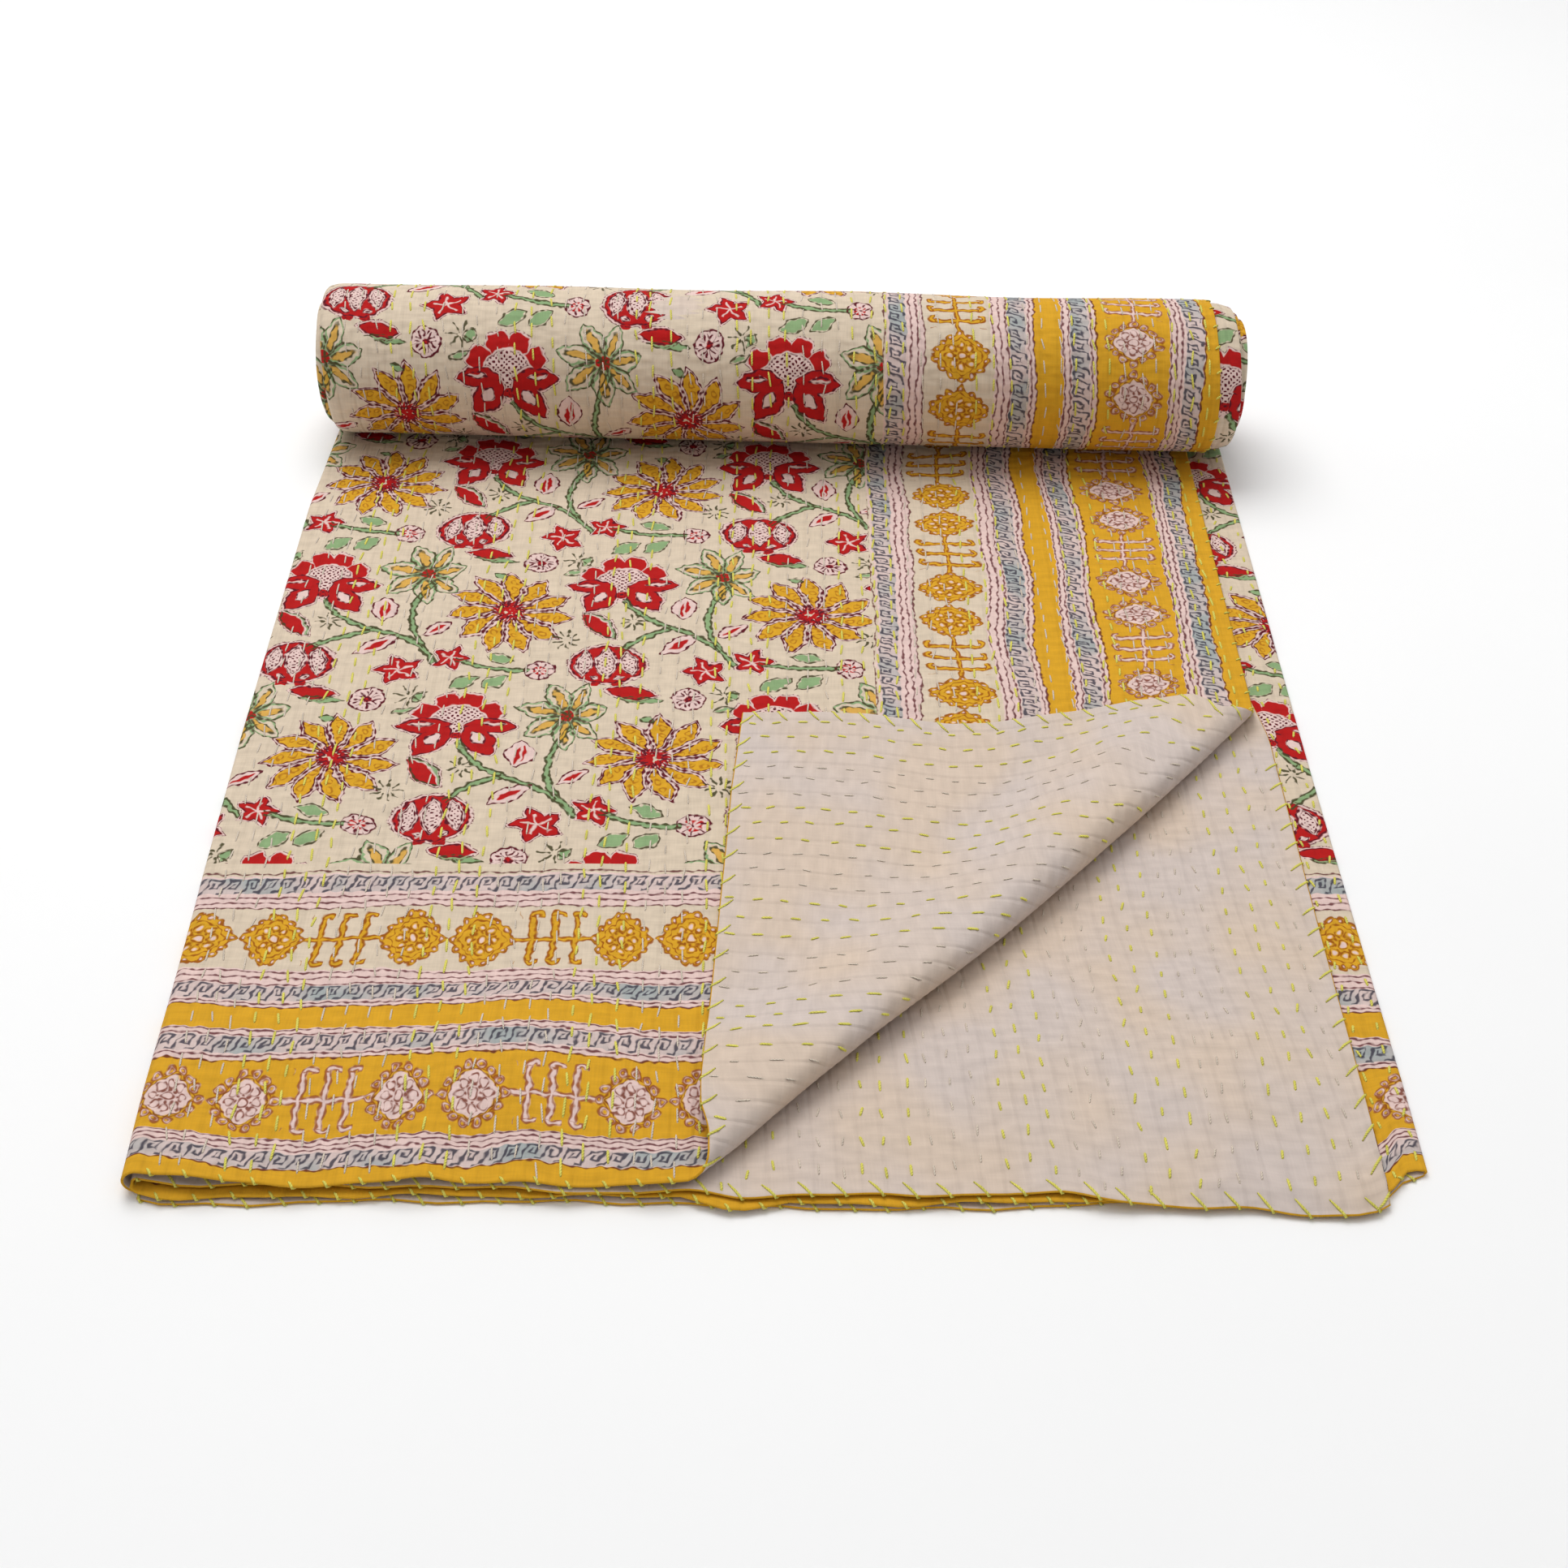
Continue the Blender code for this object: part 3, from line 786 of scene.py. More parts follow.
def split(place):
    """The x and y of a place."""
    node = add_node(place.tree, "SeparateXYZ")
    feed(node.inputs, [place])
    return Number(place.tree, node.outputs[0]), Number(place.tree, node.outputs[1])


def combine(x, y):
    """A place from its x and y."""
    node = add_node(x.tree, "CombineXYZ")
    feed(node.inputs, [x, y])
    return Number(x.tree, node.outputs[0])


def least(*values):
    """The least of some values: where all of the shapes overlap."""
    total = values[0]
    for value in values[1:]:
        total = calculate("MINIMUM", total, value)
    return total


def most(*values):
    """The greatest of some values: all of the shapes together."""
    total = values[0]
    for value in values[1:]:
        total = calculate("MAXIMUM", total, value)
    return total


def wrap(value, period):
    """The value brought to within half a period of 0."""
    return calculate("WRAP", value, period / 2.0, -period / 2.0)


def noise(place, scale, detail=0.0, output="Fac"):
    """Soft noise about 0.5, or three of them as the colour."""
    node = add_node(place.tree, "TexNoise", noise_dimensions="2D")
    feed((node.inputs["Vector"], node.inputs["Scale"], node.inputs["Detail"]), (place, scale, detail))
    return Number(place.tree, node.outputs[output])


def inked(depth, soft=0.35):
    """A mask from a depth in mm: half strength at the edge, full `soft` further in."""
    return calculate("MULTIPLY_ADD", depth, 0.5 / soft, 0.5, clamp=True)


def steps(value, starts, levels, span):
    """A staircase over 0 to span: from each start on, its level, which lies between 0 and 1."""
    ramp = add_node(value.tree, "ValToRGB")
    ramp.color_ramp.interpolation = "CONSTANT"
    elements = ramp.color_ramp.elements
    for index, (start, level) in enumerate(zip(starts, levels)):
        element = elements[index] if index < 2 else elements.new(start / span)
        element.position = start / span
        element.color = (1.0, 1.0, 1.0, level)
    feed([ramp.inputs[0]], [value / span])
    return Number(value.tree, ramp.outputs["Alpha"])


def nearest(value, places, span):
    """The one of some places that a value lies closest to."""
    halfway = [0.0] + [(low + high) / 2.0 for low, high in zip(places, places[1:])]
    return steps(value, halfway, [place / span for place in places], span) * span


def stroke(depth, at, half_width):
    """Depth of a drawn line that follows a shape's edge at a distance inside it."""
    return half_width - abs(depth - at)


def lay(colour, ink, mask):
    """One colour printed over another."""
    node = add_node(mask.tree, "Mix", data_type="RGBA")
    feed((node.inputs["Factor"], node.inputs["A"], node.inputs["B"]), (mask, colour, ink))
    return Number(mask.tree, node.outputs["Result"])


def new_group(name, inputs, outputs):
    """An empty shader group with named sockets. Returns its tree and its inputs by name."""
    tree = bpy.data.node_groups.new(name, "ShaderNodeTree")
    for label, (kind, default) in inputs.items():
        socket = tree.interface.new_socket(label, in_out="INPUT", socket_type="NodeSocket" + kind)
        if default is not None:
            socket.default_value = default
    for label, kind in outputs.items():
        tree.interface.new_socket(label, in_out="OUTPUT", socket_type="NodeSocket" + kind)
    entry = tree.nodes.new("NodeGroupInput")
    return tree, {label: Number(tree, entry.outputs[label]) for label in inputs}


def close_group(tree, **outputs):
    """Feeds a group's outputs by name."""
    end = tree.nodes.new("NodeGroupOutput")
    for label, value in outputs.items():
        feed([end.inputs[label]], [value])


def use_group(tree, name, **values):
    """Places a group in a tree, with values for its inputs; returns its outputs."""
    node = add_node(tree, "Group", node_tree=bpy.data.node_groups[name])
    for label, value in values.items():
        feed([node.inputs[label]], [value])
    found = [Number(tree, socket) for socket in node.outputs]
    return found[0] if len(found) == 1 else found


# ---- shapes of the printing blocks, in mm -------------------------------------------------------

def turned_parts(place, at, given):
    """How far a place lies from another one, along a turned shape and across it."""
    off = vector("SUBTRACT", place, at)
    return vector("DOT_PRODUCT", off, given["Along"]), vector("DOT_PRODUCT", off, given["Across"])


def turned_axes(turn, half_length=1.0, half_width=1.0):
    """A shape's two directions at a turn in radians, each over its half size."""
    cosine, sine = math.cos(turn), math.sin(turn)
    return {"Along": (cosine / half_length, sine / half_length, 0.0),
            "Across": (-sine / half_width, cosine / half_width, 0.0)}


def make_shape_groups():
    """Groups that give how deep a place lies inside a cut shape, negative outside."""
    tree, given = new_group(
        "block_leaf",
        {"Place": ("Vector", None), "At": ("Vector", None), "Along": ("Vector", None),
         "Across": ("Vector", None), "Half Width": ("Float", 4.0)},
        {"Depth": "Float"},
    )
    # half width times 1 - u^2 - |v|, u and v along and across the leaf over its half sizes
    u, v = turned_parts(given["Place"], given["At"], given)
    close_group(tree, Depth=(1.0 - calculate("MULTIPLY_ADD", u, u, abs(v))) * given["Half Width"])

    tree, given = new_group(
        "block_round",
        {"Place": ("Vector", None), "At": ("Vector", None), "Half": ("Vector", None)},
        {"Depth": "Float"},
    )
    # half height times 1 - the length of the place over the half sizes
    across = vector("DIVIDE", vector("SUBTRACT", given["Place"], given["At"]), given["Half"])
    _, half_height = split(given["Half"])
    close_group(tree, Depth=(1.0 - vector("LENGTH", across)) * half_height)

    tree, given = new_group(
        "block_petals",
        {"Place": ("Vector", None), "At": ("Vector", None), "Count": ("Float", 6.0), "Turn": ("Float", 0.0),
         "Twist": ("Float", 0.0), "Inner": ("Float", 4.0), "Outer": ("Float", 20.0),
         "Half Width": ("Float", 4.0)},
        {"Depth": "Float", "Radius": "Float", "Side": "Float", "Gap": "Float"},
    )
    # pointed petals between two radii: half width times (1 - u^2) - side, with u from -1 at the
    # inner radius to 1 at the outer, and side the arc from the nearest petal's middle line; gap is
    # the distance to the line halfway to the next petal
    off = vector("SUBTRACT", given["Place"], given["At"])
    radius = vector("LENGTH", off)
    x, y = split(off)
    span = calculate("DIVIDE", math.pi, given["Count"])
    turned = calculate("ARCTAN2", y, x) - given["Turn"] - radius * given["Twist"]
    angle = calculate("WRAP", turned, span, span * -1.0)
    side = angle * radius
    middle = (given["Inner"] + given["Outer"]) * 0.5
    u = (radius - middle) / (given["Outer"] - middle)
    depth = given["Half Width"] * (1.0 - u * u) - abs(side)
    close_group(tree, Depth=depth, Radius=radius, Side=side, Gap=span * radius - abs(side))

    tree, given = new_group(
        "block_stem",
        {"Place": ("Vector", None), "Start": ("Vector", None), "Along": ("Vector", None),
         "Across": ("Vector", None), "Length": ("Float", 30.0), "Bow": ("Float", 3.0)},
        {"Body": "Float", "Line": "Float"},
    )
    # distance from the parabola v = 4 bow t (1 - t), t running 0 to 1 along the chord
    u, v = turned_parts(given["Place"], given["Start"], given)
    t = u / given["Length"]
    rise = (t - t * t) * 4.0
    away = abs(v - rise * given["Bow"])
    ends = rise * given["Length"] * 0.5
    close_group(tree, Body=least(1.7 - away, ends), Line=least(0.62 - abs(away - 1.6), ends))

    tree, given = new_group(
        "block_half_drop",
        {"Place": ("Vector", None), "Middle": ("Vector", None)},
        {"Place": "Vector"},
    )
    # the place relative to the nearest repeat of the pattern, every other row half a repeat aside
    x, y = split(vector("SUBTRACT", given["Place"], given["Middle"]))
    near_y = wrap(y, REPEAT_ALONG / 2.0)
    near_x = wrap(x - (y - near_y) * (REPEAT_ACROSS / REPEAT_ALONG), REPEAT_ACROSS)
    close_group(tree, Place=vector("ADD", combine(near_x, near_y), given["Middle"]))


def leaf(place, at, turn, half):
    """A pointed leaf: middle, turn in degrees, half length and half width."""
    return use_group(place.tree, "block_leaf", Place=place, At=(*at, 0.0),
                     **turned_axes(math.radians(turn), *half), **{"Half Width": half[1]})


def round_shape(place, at, half):
    """An oval: middle, half width and half height."""
    return use_group(place.tree, "block_round", Place=place, At=(*at, 0.0), Half=(*half, 1.0))


def petals(place, at, count, turn, inner, outer, half_width, twist=0.0):
    """Depth, radius, signed side and gap of a ring of petals; the twist is in degrees a mm."""
    return use_group(place.tree, "block_petals", Place=place, At=(*at, 0.0), Count=float(count),
                     Turn=math.radians(turn), Inner=inner, Outer=outer, Twist=math.radians(twist),
                     **{"Half Width": half_width})


def stem(place, start, stop, bow):
    """Body and edge lines of a curved stem from start to stop."""
    run = (stop[0] - start[0], stop[1] - start[1])
    return use_group(place.tree, "block_stem", Place=place, Start=(*start, 0.0),
                     **turned_axes(math.atan2(run[1], run[0])), Length=math.hypot(*run), Bow=bow)


def half_drop(place, middle):
    """The place in the repeat that has its middle there."""
    return use_group(place.tree, "block_half_drop", Place=place, Middle=(*middle, 0.0))


def mirrored(place, middle):
    """Folds a place over the upright line through a point, and measures from that point."""
    x, y = split(vector("SUBTRACT", place, (*middle, 0.0)))
    x = abs(x)
    return combine(x, y), x, y


def dots(x, y):
    """Rows of dots: the product of two sine waves."""
    return calculate("SINE", x) * calculate("SINE", y) * 1.5


def make_hand_print_group():
    """Cloth coordinates in mm, moved a little as a hand-printed block and pulled cloth are, and how
    thin the ink lies."""
    tree, given = new_group(
        "hand_print", {"Cloth": ("Vector", None)}, {"Place": "Vector", "Thin": "Float"})
    place = vector("SCALE", given["Cloth"], scale=1000.0)
    for scale, push in ((16.0, 7.0), (190.0, 2.4)):
        uneven = vector("SUBTRACT", noise(given["Cloth"], scale, output="Color"), (0.5, 0.5, 0.5))
        place = vector("ADD", place, vector("SCALE", uneven, scale=push))
    close_group(tree, Place=place, Thin=noise(given["Cloth"], 360.0) - 0.5)


def colour_inputs(*names):
    """Group inputs for colours."""
    return {name: ("Color", (0.5, 0.5, 0.5, 1.0)) for name in names}


def make_floral_group():
    """The flowered print: one half-drop repeat of blooms, fruit, buds and vines."""
    tree, given = new_group(
        "floral_print",
        {"Cloth": ("Vector", None),
         **colour_inputs("Ground", "Pink", "Ochre", "Green", "Red", "Outline", "Vine", "Brown")},
        {"Color": "Color"},
    )
    place, thin = use_group(tree, "hand_print", Cloth=given["Cloth"])
    x, y = split(place)
    y = y - REPEAT_AT[1]
    lean = calculate("MINIMUM", y, 250.0) * PRINT_LEAN - (y > 400.0) * ROLL_PRINT_SHIFT
    place = combine(x - REPEAT_AT[0] + lean, y)
    near = half_drop(place, (0.0, 0.0))          # the sunflower, lily and what grows by them
    vine_side = half_drop(place, (92.0, -4.0))   # the lotus, fruit, stars and main vine
    sprig_side = half_drop(place, (88.0, 80.0))  # the leaf pair with its small flower

    # sunflower: each petal has its own line, a pale edge and an outer line
    petal, radius, side, gap = petals(near, (0.0, 0.0), 11, 8.0, 4.0, 39.5, 8.6, 0.4)
    petal = least(petal, gap)
    sun_fill = petal - 2.0
    sun_lines = most(stroke(petal, 0.35, 0.42), stroke(petal, 2.1, 0.36))
    curl = stroke(vector("LENGTH", combine(wrap(radius - 2.0, 6.6), side + 0.7)), 1.9, 0.45)
    sun_brown = least(curl, petal - 2.6, 1.4 - side)
    sun_heart = 8.6 - radius + calculate("SINE", radius * 1.9 + side * 2.2) * 1.5
    sun_heart = least(sun_heart, gap * 1.5 + thin * 8.0 + 0.6)

    # lotus: a seeded dome with a crown of four, two side petals and two hanging ones
    half_lotus, lotus_x, lotus_y = mirrored(vine_side, LOTUS)
    crown, crown_radius, _, crown_gap = petals(half_lotus, (0.0, 0.0), 9, 72.0, 4.0, 35.0, 7.2)
    crown = least(crown * 1.2, crown_gap - 0.3, 27.5 - crown_radius, crown_radius - 17.6, lotus_y - 1.0)
    dome = 17.2 - crown_radius
    wing = leaf(half_lotus, (18.5, -0.8), -2.0, (15.2, 7.2))
    wing_eye = leaf(half_lotus, (20.2, 0.6), 2.0, (7.0, 2.2))
    hanging = leaf(half_lotus, (13.0, -14.5), -56.0, (16.0, 9.2))
    hanging_eye = leaf(half_lotus, (12.8, -13.0), -56.0, (6.4, 4.0))
    limbs = most(wing, hanging)
    lotus_red = most(crown, least(limbs, 0.0 - wing_eye, 0.0 - hanging_eye),
                     round_shape(half_lotus, (0.0, -10.5), (3.8, 3.4)))
    lotus_halo = most(crown, limbs, dome) + 1.5
    seeds = dots(lotus_x * 1.8 + 1.2, lotus_y * 1.8) - 0.5 + thin * 2.0
    seeds = least(seeds, dome - 1.2, 0.0 - limbs - 1.2)
    lotus_lines = most(stroke(wing_eye, 0.3, 0.4), stroke(hanging_eye, 0.3, 0.45),
                       least(stroke(most(crown, limbs), -1.4, 0.32), thin * 7.0 + 0.5),
                       stroke(limbs, 0.5, 0.45))

    # lily: green-edged petals with an orange spot each, longer to the left, round a red heart
    lily_x, lily_y = split(near)
    lily_x = lily_x - LILY[0]
    lily_place = combine(calculate("MAXIMUM", lily_x, 0.0) * 0.3 + lily_x, lily_y - LILY[1])
    lily, lily_radius, lily_side, lily_gap = petals(lily_place, (0.0, 0.0), 7, 157.0, 1.0, 31.0, 8.2, 0.3)
    lily = least(lily, lily_gap)
    lily_spot = 2.7 - vector("LENGTH", combine((lily_radius - 15.5) * 0.30, lily_side))
    lily_green = least(lily - 0.4, 1.8 - lily + thin * 3.0)
    lily_line = most(stroke(lily, 0.3, 0.5), stroke(lily_spot, 0.0, 0.36))
    lily_heart = 4.6 - lily_radius + thin * 3.0

    # red leaf over a thin green one, round flower, tuft and small leaf above the sunflower
    red_leaf = leaf(near, (-15.0, 57.5), -7.0, (14.0, 5.4))
    under_sliver = leaf(near, (-10.0, 51.5), -6.0, (13.0, 2.6))
    daisy, daisy_radius, daisy_side, _ = petals(near, (16.0, 51.0), 7, 10.0, 1.0, 16.0, 4.4)
    daisy = least(daisy, 9.8 - daisy_radius)
    daisy_veins = least(0.45 - abs(abs(daisy_side) - 1.3), 7.2 - daisy_radius, daisy_radius - 3.2)
    tuft, _, tuft_side, _ = petals(near, (38.0, 55.0), 7, 20.0, 1.5, 9.5, 2.0)
    ticks, _, tick_side, _ = petals(near, (34.0, -26.0), 9, 0.0, 2.5, 9.0, 1.6)
    small_leaf = leaf(near, (-44.0, -17.0), 35.0, (10.5, 4.6))
    small_heart = leaf(near, (-44.0, -17.0), 35.0, (6.5, 1.7))
    green_hook = leaf(near, (-5.0, 35.0), -20.0, (4.5, 2.4))

    # main vine with its bud, leaves and ticks
    bud = leaf(vine_side, (104.0, 4.0), 88.0, (12.0, 7.8))
    bud_heart = leaf(vine_side, (104.0, 3.0), 80.0, (8.5, 3.2))
    bud_heart = least(bud_heart, abs(split(vine_side)[0] - 104.3) - 0.7)
    slanting = leaf(vine_side, (54.0, -12.0), -50.0, (15.8, 6.8))
    slanting_red = leaf(vine_side, (52.2, -12.6), -50.0, (14.6, 5.6))
    under_leaf = leaf(vine_side, (102.0, -31.0), 38.0, (14.5, 5.8))
    under_heart = leaf(vine_side, (102.0, -31.0), 38.0, (8.0, 2.2))
    vine_ticks, _, vine_tick_side, _ = petals(vine_side, (74.0, -9.0), 8, 10.0, 2.0, 8.5, 1.6)
    curled = most(leaf(vine_side, (43.0, 54.0), 65.0, (5.2, 3.4)),
                  leaf(vine_side, (36.5, 42.0), 18.0, (7.0, 2.4)))

    # fruit: a red ring round three seeded windows
    half_fruit, fruit_x, fruit_y = mirrored(vine_side, FRUIT)
    fruit = round_shape(half_fruit, (0.0, 0.0), (22.0, 18.5))
    windows = most(
        leaf(half_fruit, (0.0, 1.8), 90.0, (15.5, 7.0)),
        leaf(half_fruit, (13.2, 1.6), 98.0, (13.2, 5.6)),
        leaf(half_fruit, (7.4, -13.0), 20.0, (3.2, 2.2)),
    )
    fruit_red = least(most(fruit, leaf(half_fruit, (6.0, -18.5), -70.0, (4.5, 3.4))), 0.0 - windows)
    fruit_lines = most(stroke(windows, 0.3, 0.42), stroke(windows, 2.0, 0.3))
    pips = least(dots(fruit_x * 1.7 + 1.2, fruit_y * 1.9) - 0.8, windows - 2.6)

    # five-pointed stars
    star, star_radius, star_side, _ = petals(vine_side, (117.0, -56.0), 5, 20.0, -9.0, 14.5, 5.8, 1.2)
    small, small_radius, small_side, _ = petals(vine_side, (146.0, -45.0), 5, 85.0, -8.0, 12.5, 5.2, -1.0)
    star_lines = most(
        least(0.55 - abs(star_side), 8.5 - star_radius), least(0.55 - abs(small_side), 7.5 - small_radius))

    # leaf pair, single leaf and small flower on their own stem
    pair = most(leaf(sprig_side, (68.0, 66.0), 32.0, (10.2, 5.6)),
                leaf(sprig_side, (86.0, 67.0), 38.0, (9.6, 5.4)),
                leaf(sprig_side, (86.0, 90.0), -18.0, (9.2, 4.8)), curled)
    posy, posy_radius, posy_side, _ = petals(sprig_side, (110.0, 79.0), 7, 10.0, 0.0, 13.0, 4.0)
    posy = least(posy, 8.6 - posy_radius)

    bodies, lines = zip(
        stem(vine_side, (66.0, -37.0), (98.0, -16.0), 2.5),
        stem(vine_side, (97.0, -16.0), (136.0, -50.0), 6.0),
        stem(vine_side, (69.0, 13.0), (99.0, -16.0), -4.5),
        stem(near, (-46.0, 30.0), (-50.0, -36.0), -11.0),
        stem(sprig_side, (60.0, 88.0), (104.0, 79.0), -3.0),
    )

    outlined = most(small_leaf, bud, under_leaf, daisy, posy)
    ringed = most(red_leaf, slanting, star, small, fruit)
    red = most(
        lotus_red, sun_heart, red_leaf, slanting_red, fruit_red, star, small, lily_heart, small_heart,
        bud_heart, under_heart, 2.4 - daisy_radius, least(4.4 - posy_radius, abs(posy_side) - 0.7))
    red = least(red, 0.0 - star_lines)
    halo = most(petal + 0.3, lotus_halo, outlined, ringed + 1.5, windows)
    green = most(pair - 0.8 - abs(thin) * 2.0, under_sliver, green_hook, lily_green,
                 least(slanting - 0.8, 0.0 - slanting_red - 0.9), *bodies)
    outline = most(
        sun_lines, lotus_lines, seeds, pips, fruit_lines, stroke(daisy, 0.4, 0.4), daisy_veins,
        least(0.5 - abs(posy_side), 7.6 - posy_radius, posy_radius - 3.6),
        stroke(outlined, 0.2, 0.5), stroke(ringed, 0.5, 0.4),
        least(stroke(ringed, -1.4, 0.36), thin * 7.0 + 0.6))
    vine = most(lily_line, stroke(pair, 0.1, 0.5), stroke(slanting, 0.2, 0.5), stroke(under_sliver, 0.0, 0.4),
                stroke(green_hook, 0.0, 0.5), least(0.55 - abs(tuft_side), tuft),
                least(0.6 - abs(tick_side), ticks), least(0.6 - abs(vine_tick_side), vine_ticks), *lines)

    # one ink after another: its name, its shape's depth, the softness of its edge, and its strength
    worn = thin * 1.5
    colour = lay(given["Ground"], given["Pink"], inked(halo, 0.6))
    for name, depth, soft, strength in (
        ("Green", green - worn * 0.6, 0.35, 0.92),
        ("Ochre", sun_fill - worn * 0.6, 0.35, 1.0),
        ("Brown", sun_brown - worn, 0.35, 0.6),
        ("Ochre", lily_spot + thin, 0.35, 0.85),
        ("Red", red - worn * 0.6, 0.35, 1.0),
        ("Outline", outline - worn, 0.3, 1.0),
        ("Vine", vine - worn, 0.3, 0.95),
    ):
        colour = lay(colour, given[name], inked(depth, soft) * strength)
    close_group(tree, Color=colour)


#              from the hem, in mm: 0 pale stripe, 1 ochre band, 2 cream row
BORDER_SPAN = 220.0
BORDER_BANDS = ((0.0, 1), (10.5, 0), (31.0, 1), (77.5, 0), (98.0, 1), (115.0, 0), (141.0, 2), (185.0, 0),
                (208.0, 2))
BORDER_LINES = (10.8, 24.5, 27.8, 31.0, 77.8, 81.0, 94.5, 97.8, 115.2, 118.0, 132.0, 136.0, 140.2, 185.5,
                189.5, 193.5, 210.5)
KEY_ROWS = (17.0, 88.0, 125.5, 202.0)
KEY_HEIGHT = 11.0
KEY_PITCH = 9.5
BAND_MIDDLES = (54.0, 163.0)
FIGURE_PITCH = 105.0
FIGURE_AT = 91.0              # the first comb of the ochre band
FIGURE_STAGGER = 9.5          # the cream row's combs stand this much nearer
SIDE_STAGGER = 5.0


def make_border_group():
    """The border print: lines, four rows of key pattern, a plain band and two rows of combs and
    medallions, all by the distance from the nearest hem."""
    tree, given = new_group(
        "border_print",
        {"Cloth": ("Vector", None),
         **colour_inputs("Ground", "Pink", "Ochre", "Outline", "Brown", "Key", "Wash")},
        {"Color": "Color"},
    )
    place, thin = use_group(tree, "hand_print", Cloth=given["Cloth"])
    x, y = split(place)
    side = HEM_ACROSS * 1000.0 - x
    side = least(side, CLOTH_WIDTH * 1000.0 - side)
    end = least(y, CLOTH_LENGTH * 1000.0 - y)
    run = x + (y - x + SIDE_STAGGER) * (side < end)
    edge = least(side, end + least(end * 0.25, 9.0) - calculate("MAXIMUM", end - 150.0, 0.0) * 0.06)

    starts, kinds = zip(*BORDER_BANDS)
    kind = steps(edge, starts, [kind / 2.0 for kind in kinds], BORDER_SPAN)
    colour = lay(given["Pink"], given["Ground"], kind > 0.75)
    colour = lay(colour, given["Ochre"], calculate("COMPARE", kind, 0.5, 0.1))

    # key pattern
    up = edge - nearest(edge, KEY_ROWS, BORDER_SPAN)
    in_key = calculate("COMPARE", up, 0.0, KEY_HEIGHT / 2.0)
    along = wrap(run - up * 0.34, KEY_PITCH)

    def bar(at_along, at_up, half_along, half_up):
        """Depth inside an upright or level bar of the key pattern."""
        return least(half_along - abs(along - at_along), half_up - abs(up - at_up))

    hook = most(bar(-2.6, -0.1, 0.52, 4.9), bar(0.1, 4.4, 3.2, 0.50), bar(2.9, 1.6, 0.50, 3.2),
                bar(1.5, -1.1, 1.8, 0.50), bar(0.1, 0.4, 0.48, 1.9), bar(-4.0, -4.6, 1.8, 0.50),
                bar(4.6, -4.6, 0.9, 0.50))
    wash = calculate("MULTIPLY_ADD", noise(given["Cloth"], 28.0, detail=2.0), 3.6, -1.5, clamp=True)
    colour = lay(colour, given["Wash"], in_key * (wash * 0.62 + 0.22))
    colour = lay(colour, given["Key"], inked(hook + 0.12 - thin * 1.3) * 0.92)

    # combs and medallions
    inner = edge > (BAND_MIDDLES[0] + BAND_MIDDLES[1]) / 2.0
    away = edge - inner * (BAND_MIDDLES[1] - BAND_MIDDLES[0]) - BAND_MIDDLES[0]
    step = wrap(run + inner * FIGURE_STAGGER - FIGURE_AT, FIGURE_PITCH)
    beside, rise = abs(step) - FIGURE_PITCH / 3.0, away * 0.84
    distance = vector("LENGTH", combine(beside, rise))
    angle = calculate("ARCTAN2", rise, beside)
    body = 16.6 - (abs(beside) + abs(rise)) * 0.45 - distance * 0.55
    spoke = wrap(angle, math.pi / 7.0) * distance
    from_curl = vector("LENGTH", combine(spoke, body - 1.9))
    medal = most(2.5 - from_curl, body + inner * 2.0 - 3.4)
    curl = most(least(stroke(from_curl, 1.1, 0.34), most(spoke, 1.9 - body) + 0.7),
                stroke(body + calculate("COSINE", angle * 14.0) * 0.5, 5.0, 0.34))
    wide_spoke = wrap(angle, math.pi / 4.0) * distance
    from_inner = vector("LENGTH", combine(wide_spoke, distance - 6.6))
    inner_curl = least(stroke(from_inner, 2.0, 0.36), most(wide_spoke, 6.6 - distance) + 0.9)
    eye = most(stroke(distance, 2.3, 0.38), 0.8 - vector("LENGTH", combine(wide_spoke, distance - 4.0)))
    holes = most(0.9 - from_curl, least(most(1.0 - from_inner, 1.5 - distance), inner * 9.0 - 4.0))
    gaps = least(body - 0.2, 5.4 - body, from_curl - 2.2)
    bar_at = wrap(step, 10.6)
    upright = least(1.6 - abs(bar_at), 15.4 - abs(away))
    hooked = stroke(vector("LENGTH", combine(bar_at - 2.2, abs(away) - 15.0)), 2.4, 1.5)
    hooked = least(hooked, abs(away) - 14.6)
    comb = least(most(upright, hooked), 16.0 - abs(step))
    comb = most(comb, least(1.4 - abs(away), 19.0 - abs(step)))
    figure = most(medal, comb)
    lines = most(stroke(figure, 0.3, 0.48), least(most(curl, inner_curl, eye), medal - 0.9))
    in_row = abs(away) < 22.5
    colour = lay(colour, lay(given["Pink"], given["Ochre"], inner), inked(figure) * in_row)
    open_parts = most(holes, least(gaps, inner * -9.0 + 4.0))
    colour = lay(colour, lay(given["Ochre"], given["Pink"], inner), inked(open_parts) * in_row)
    line_ink = lay(given["Brown"], given["Outline"], inked(body - 4.0) * 0.6)
    colour = lay(colour, lay(line_ink, given["Brown"], inner), inked(lines - thin * 1.1) * in_row * 0.9)

    # ruled lines
    from_line = abs(edge - nearest(edge, BORDER_LINES, BORDER_SPAN))
    colour = lay(colour, given["Outline"], inked(0.46 - from_line - thin * 1.2) * 0.9)
    close_group(tree, Color=colour)


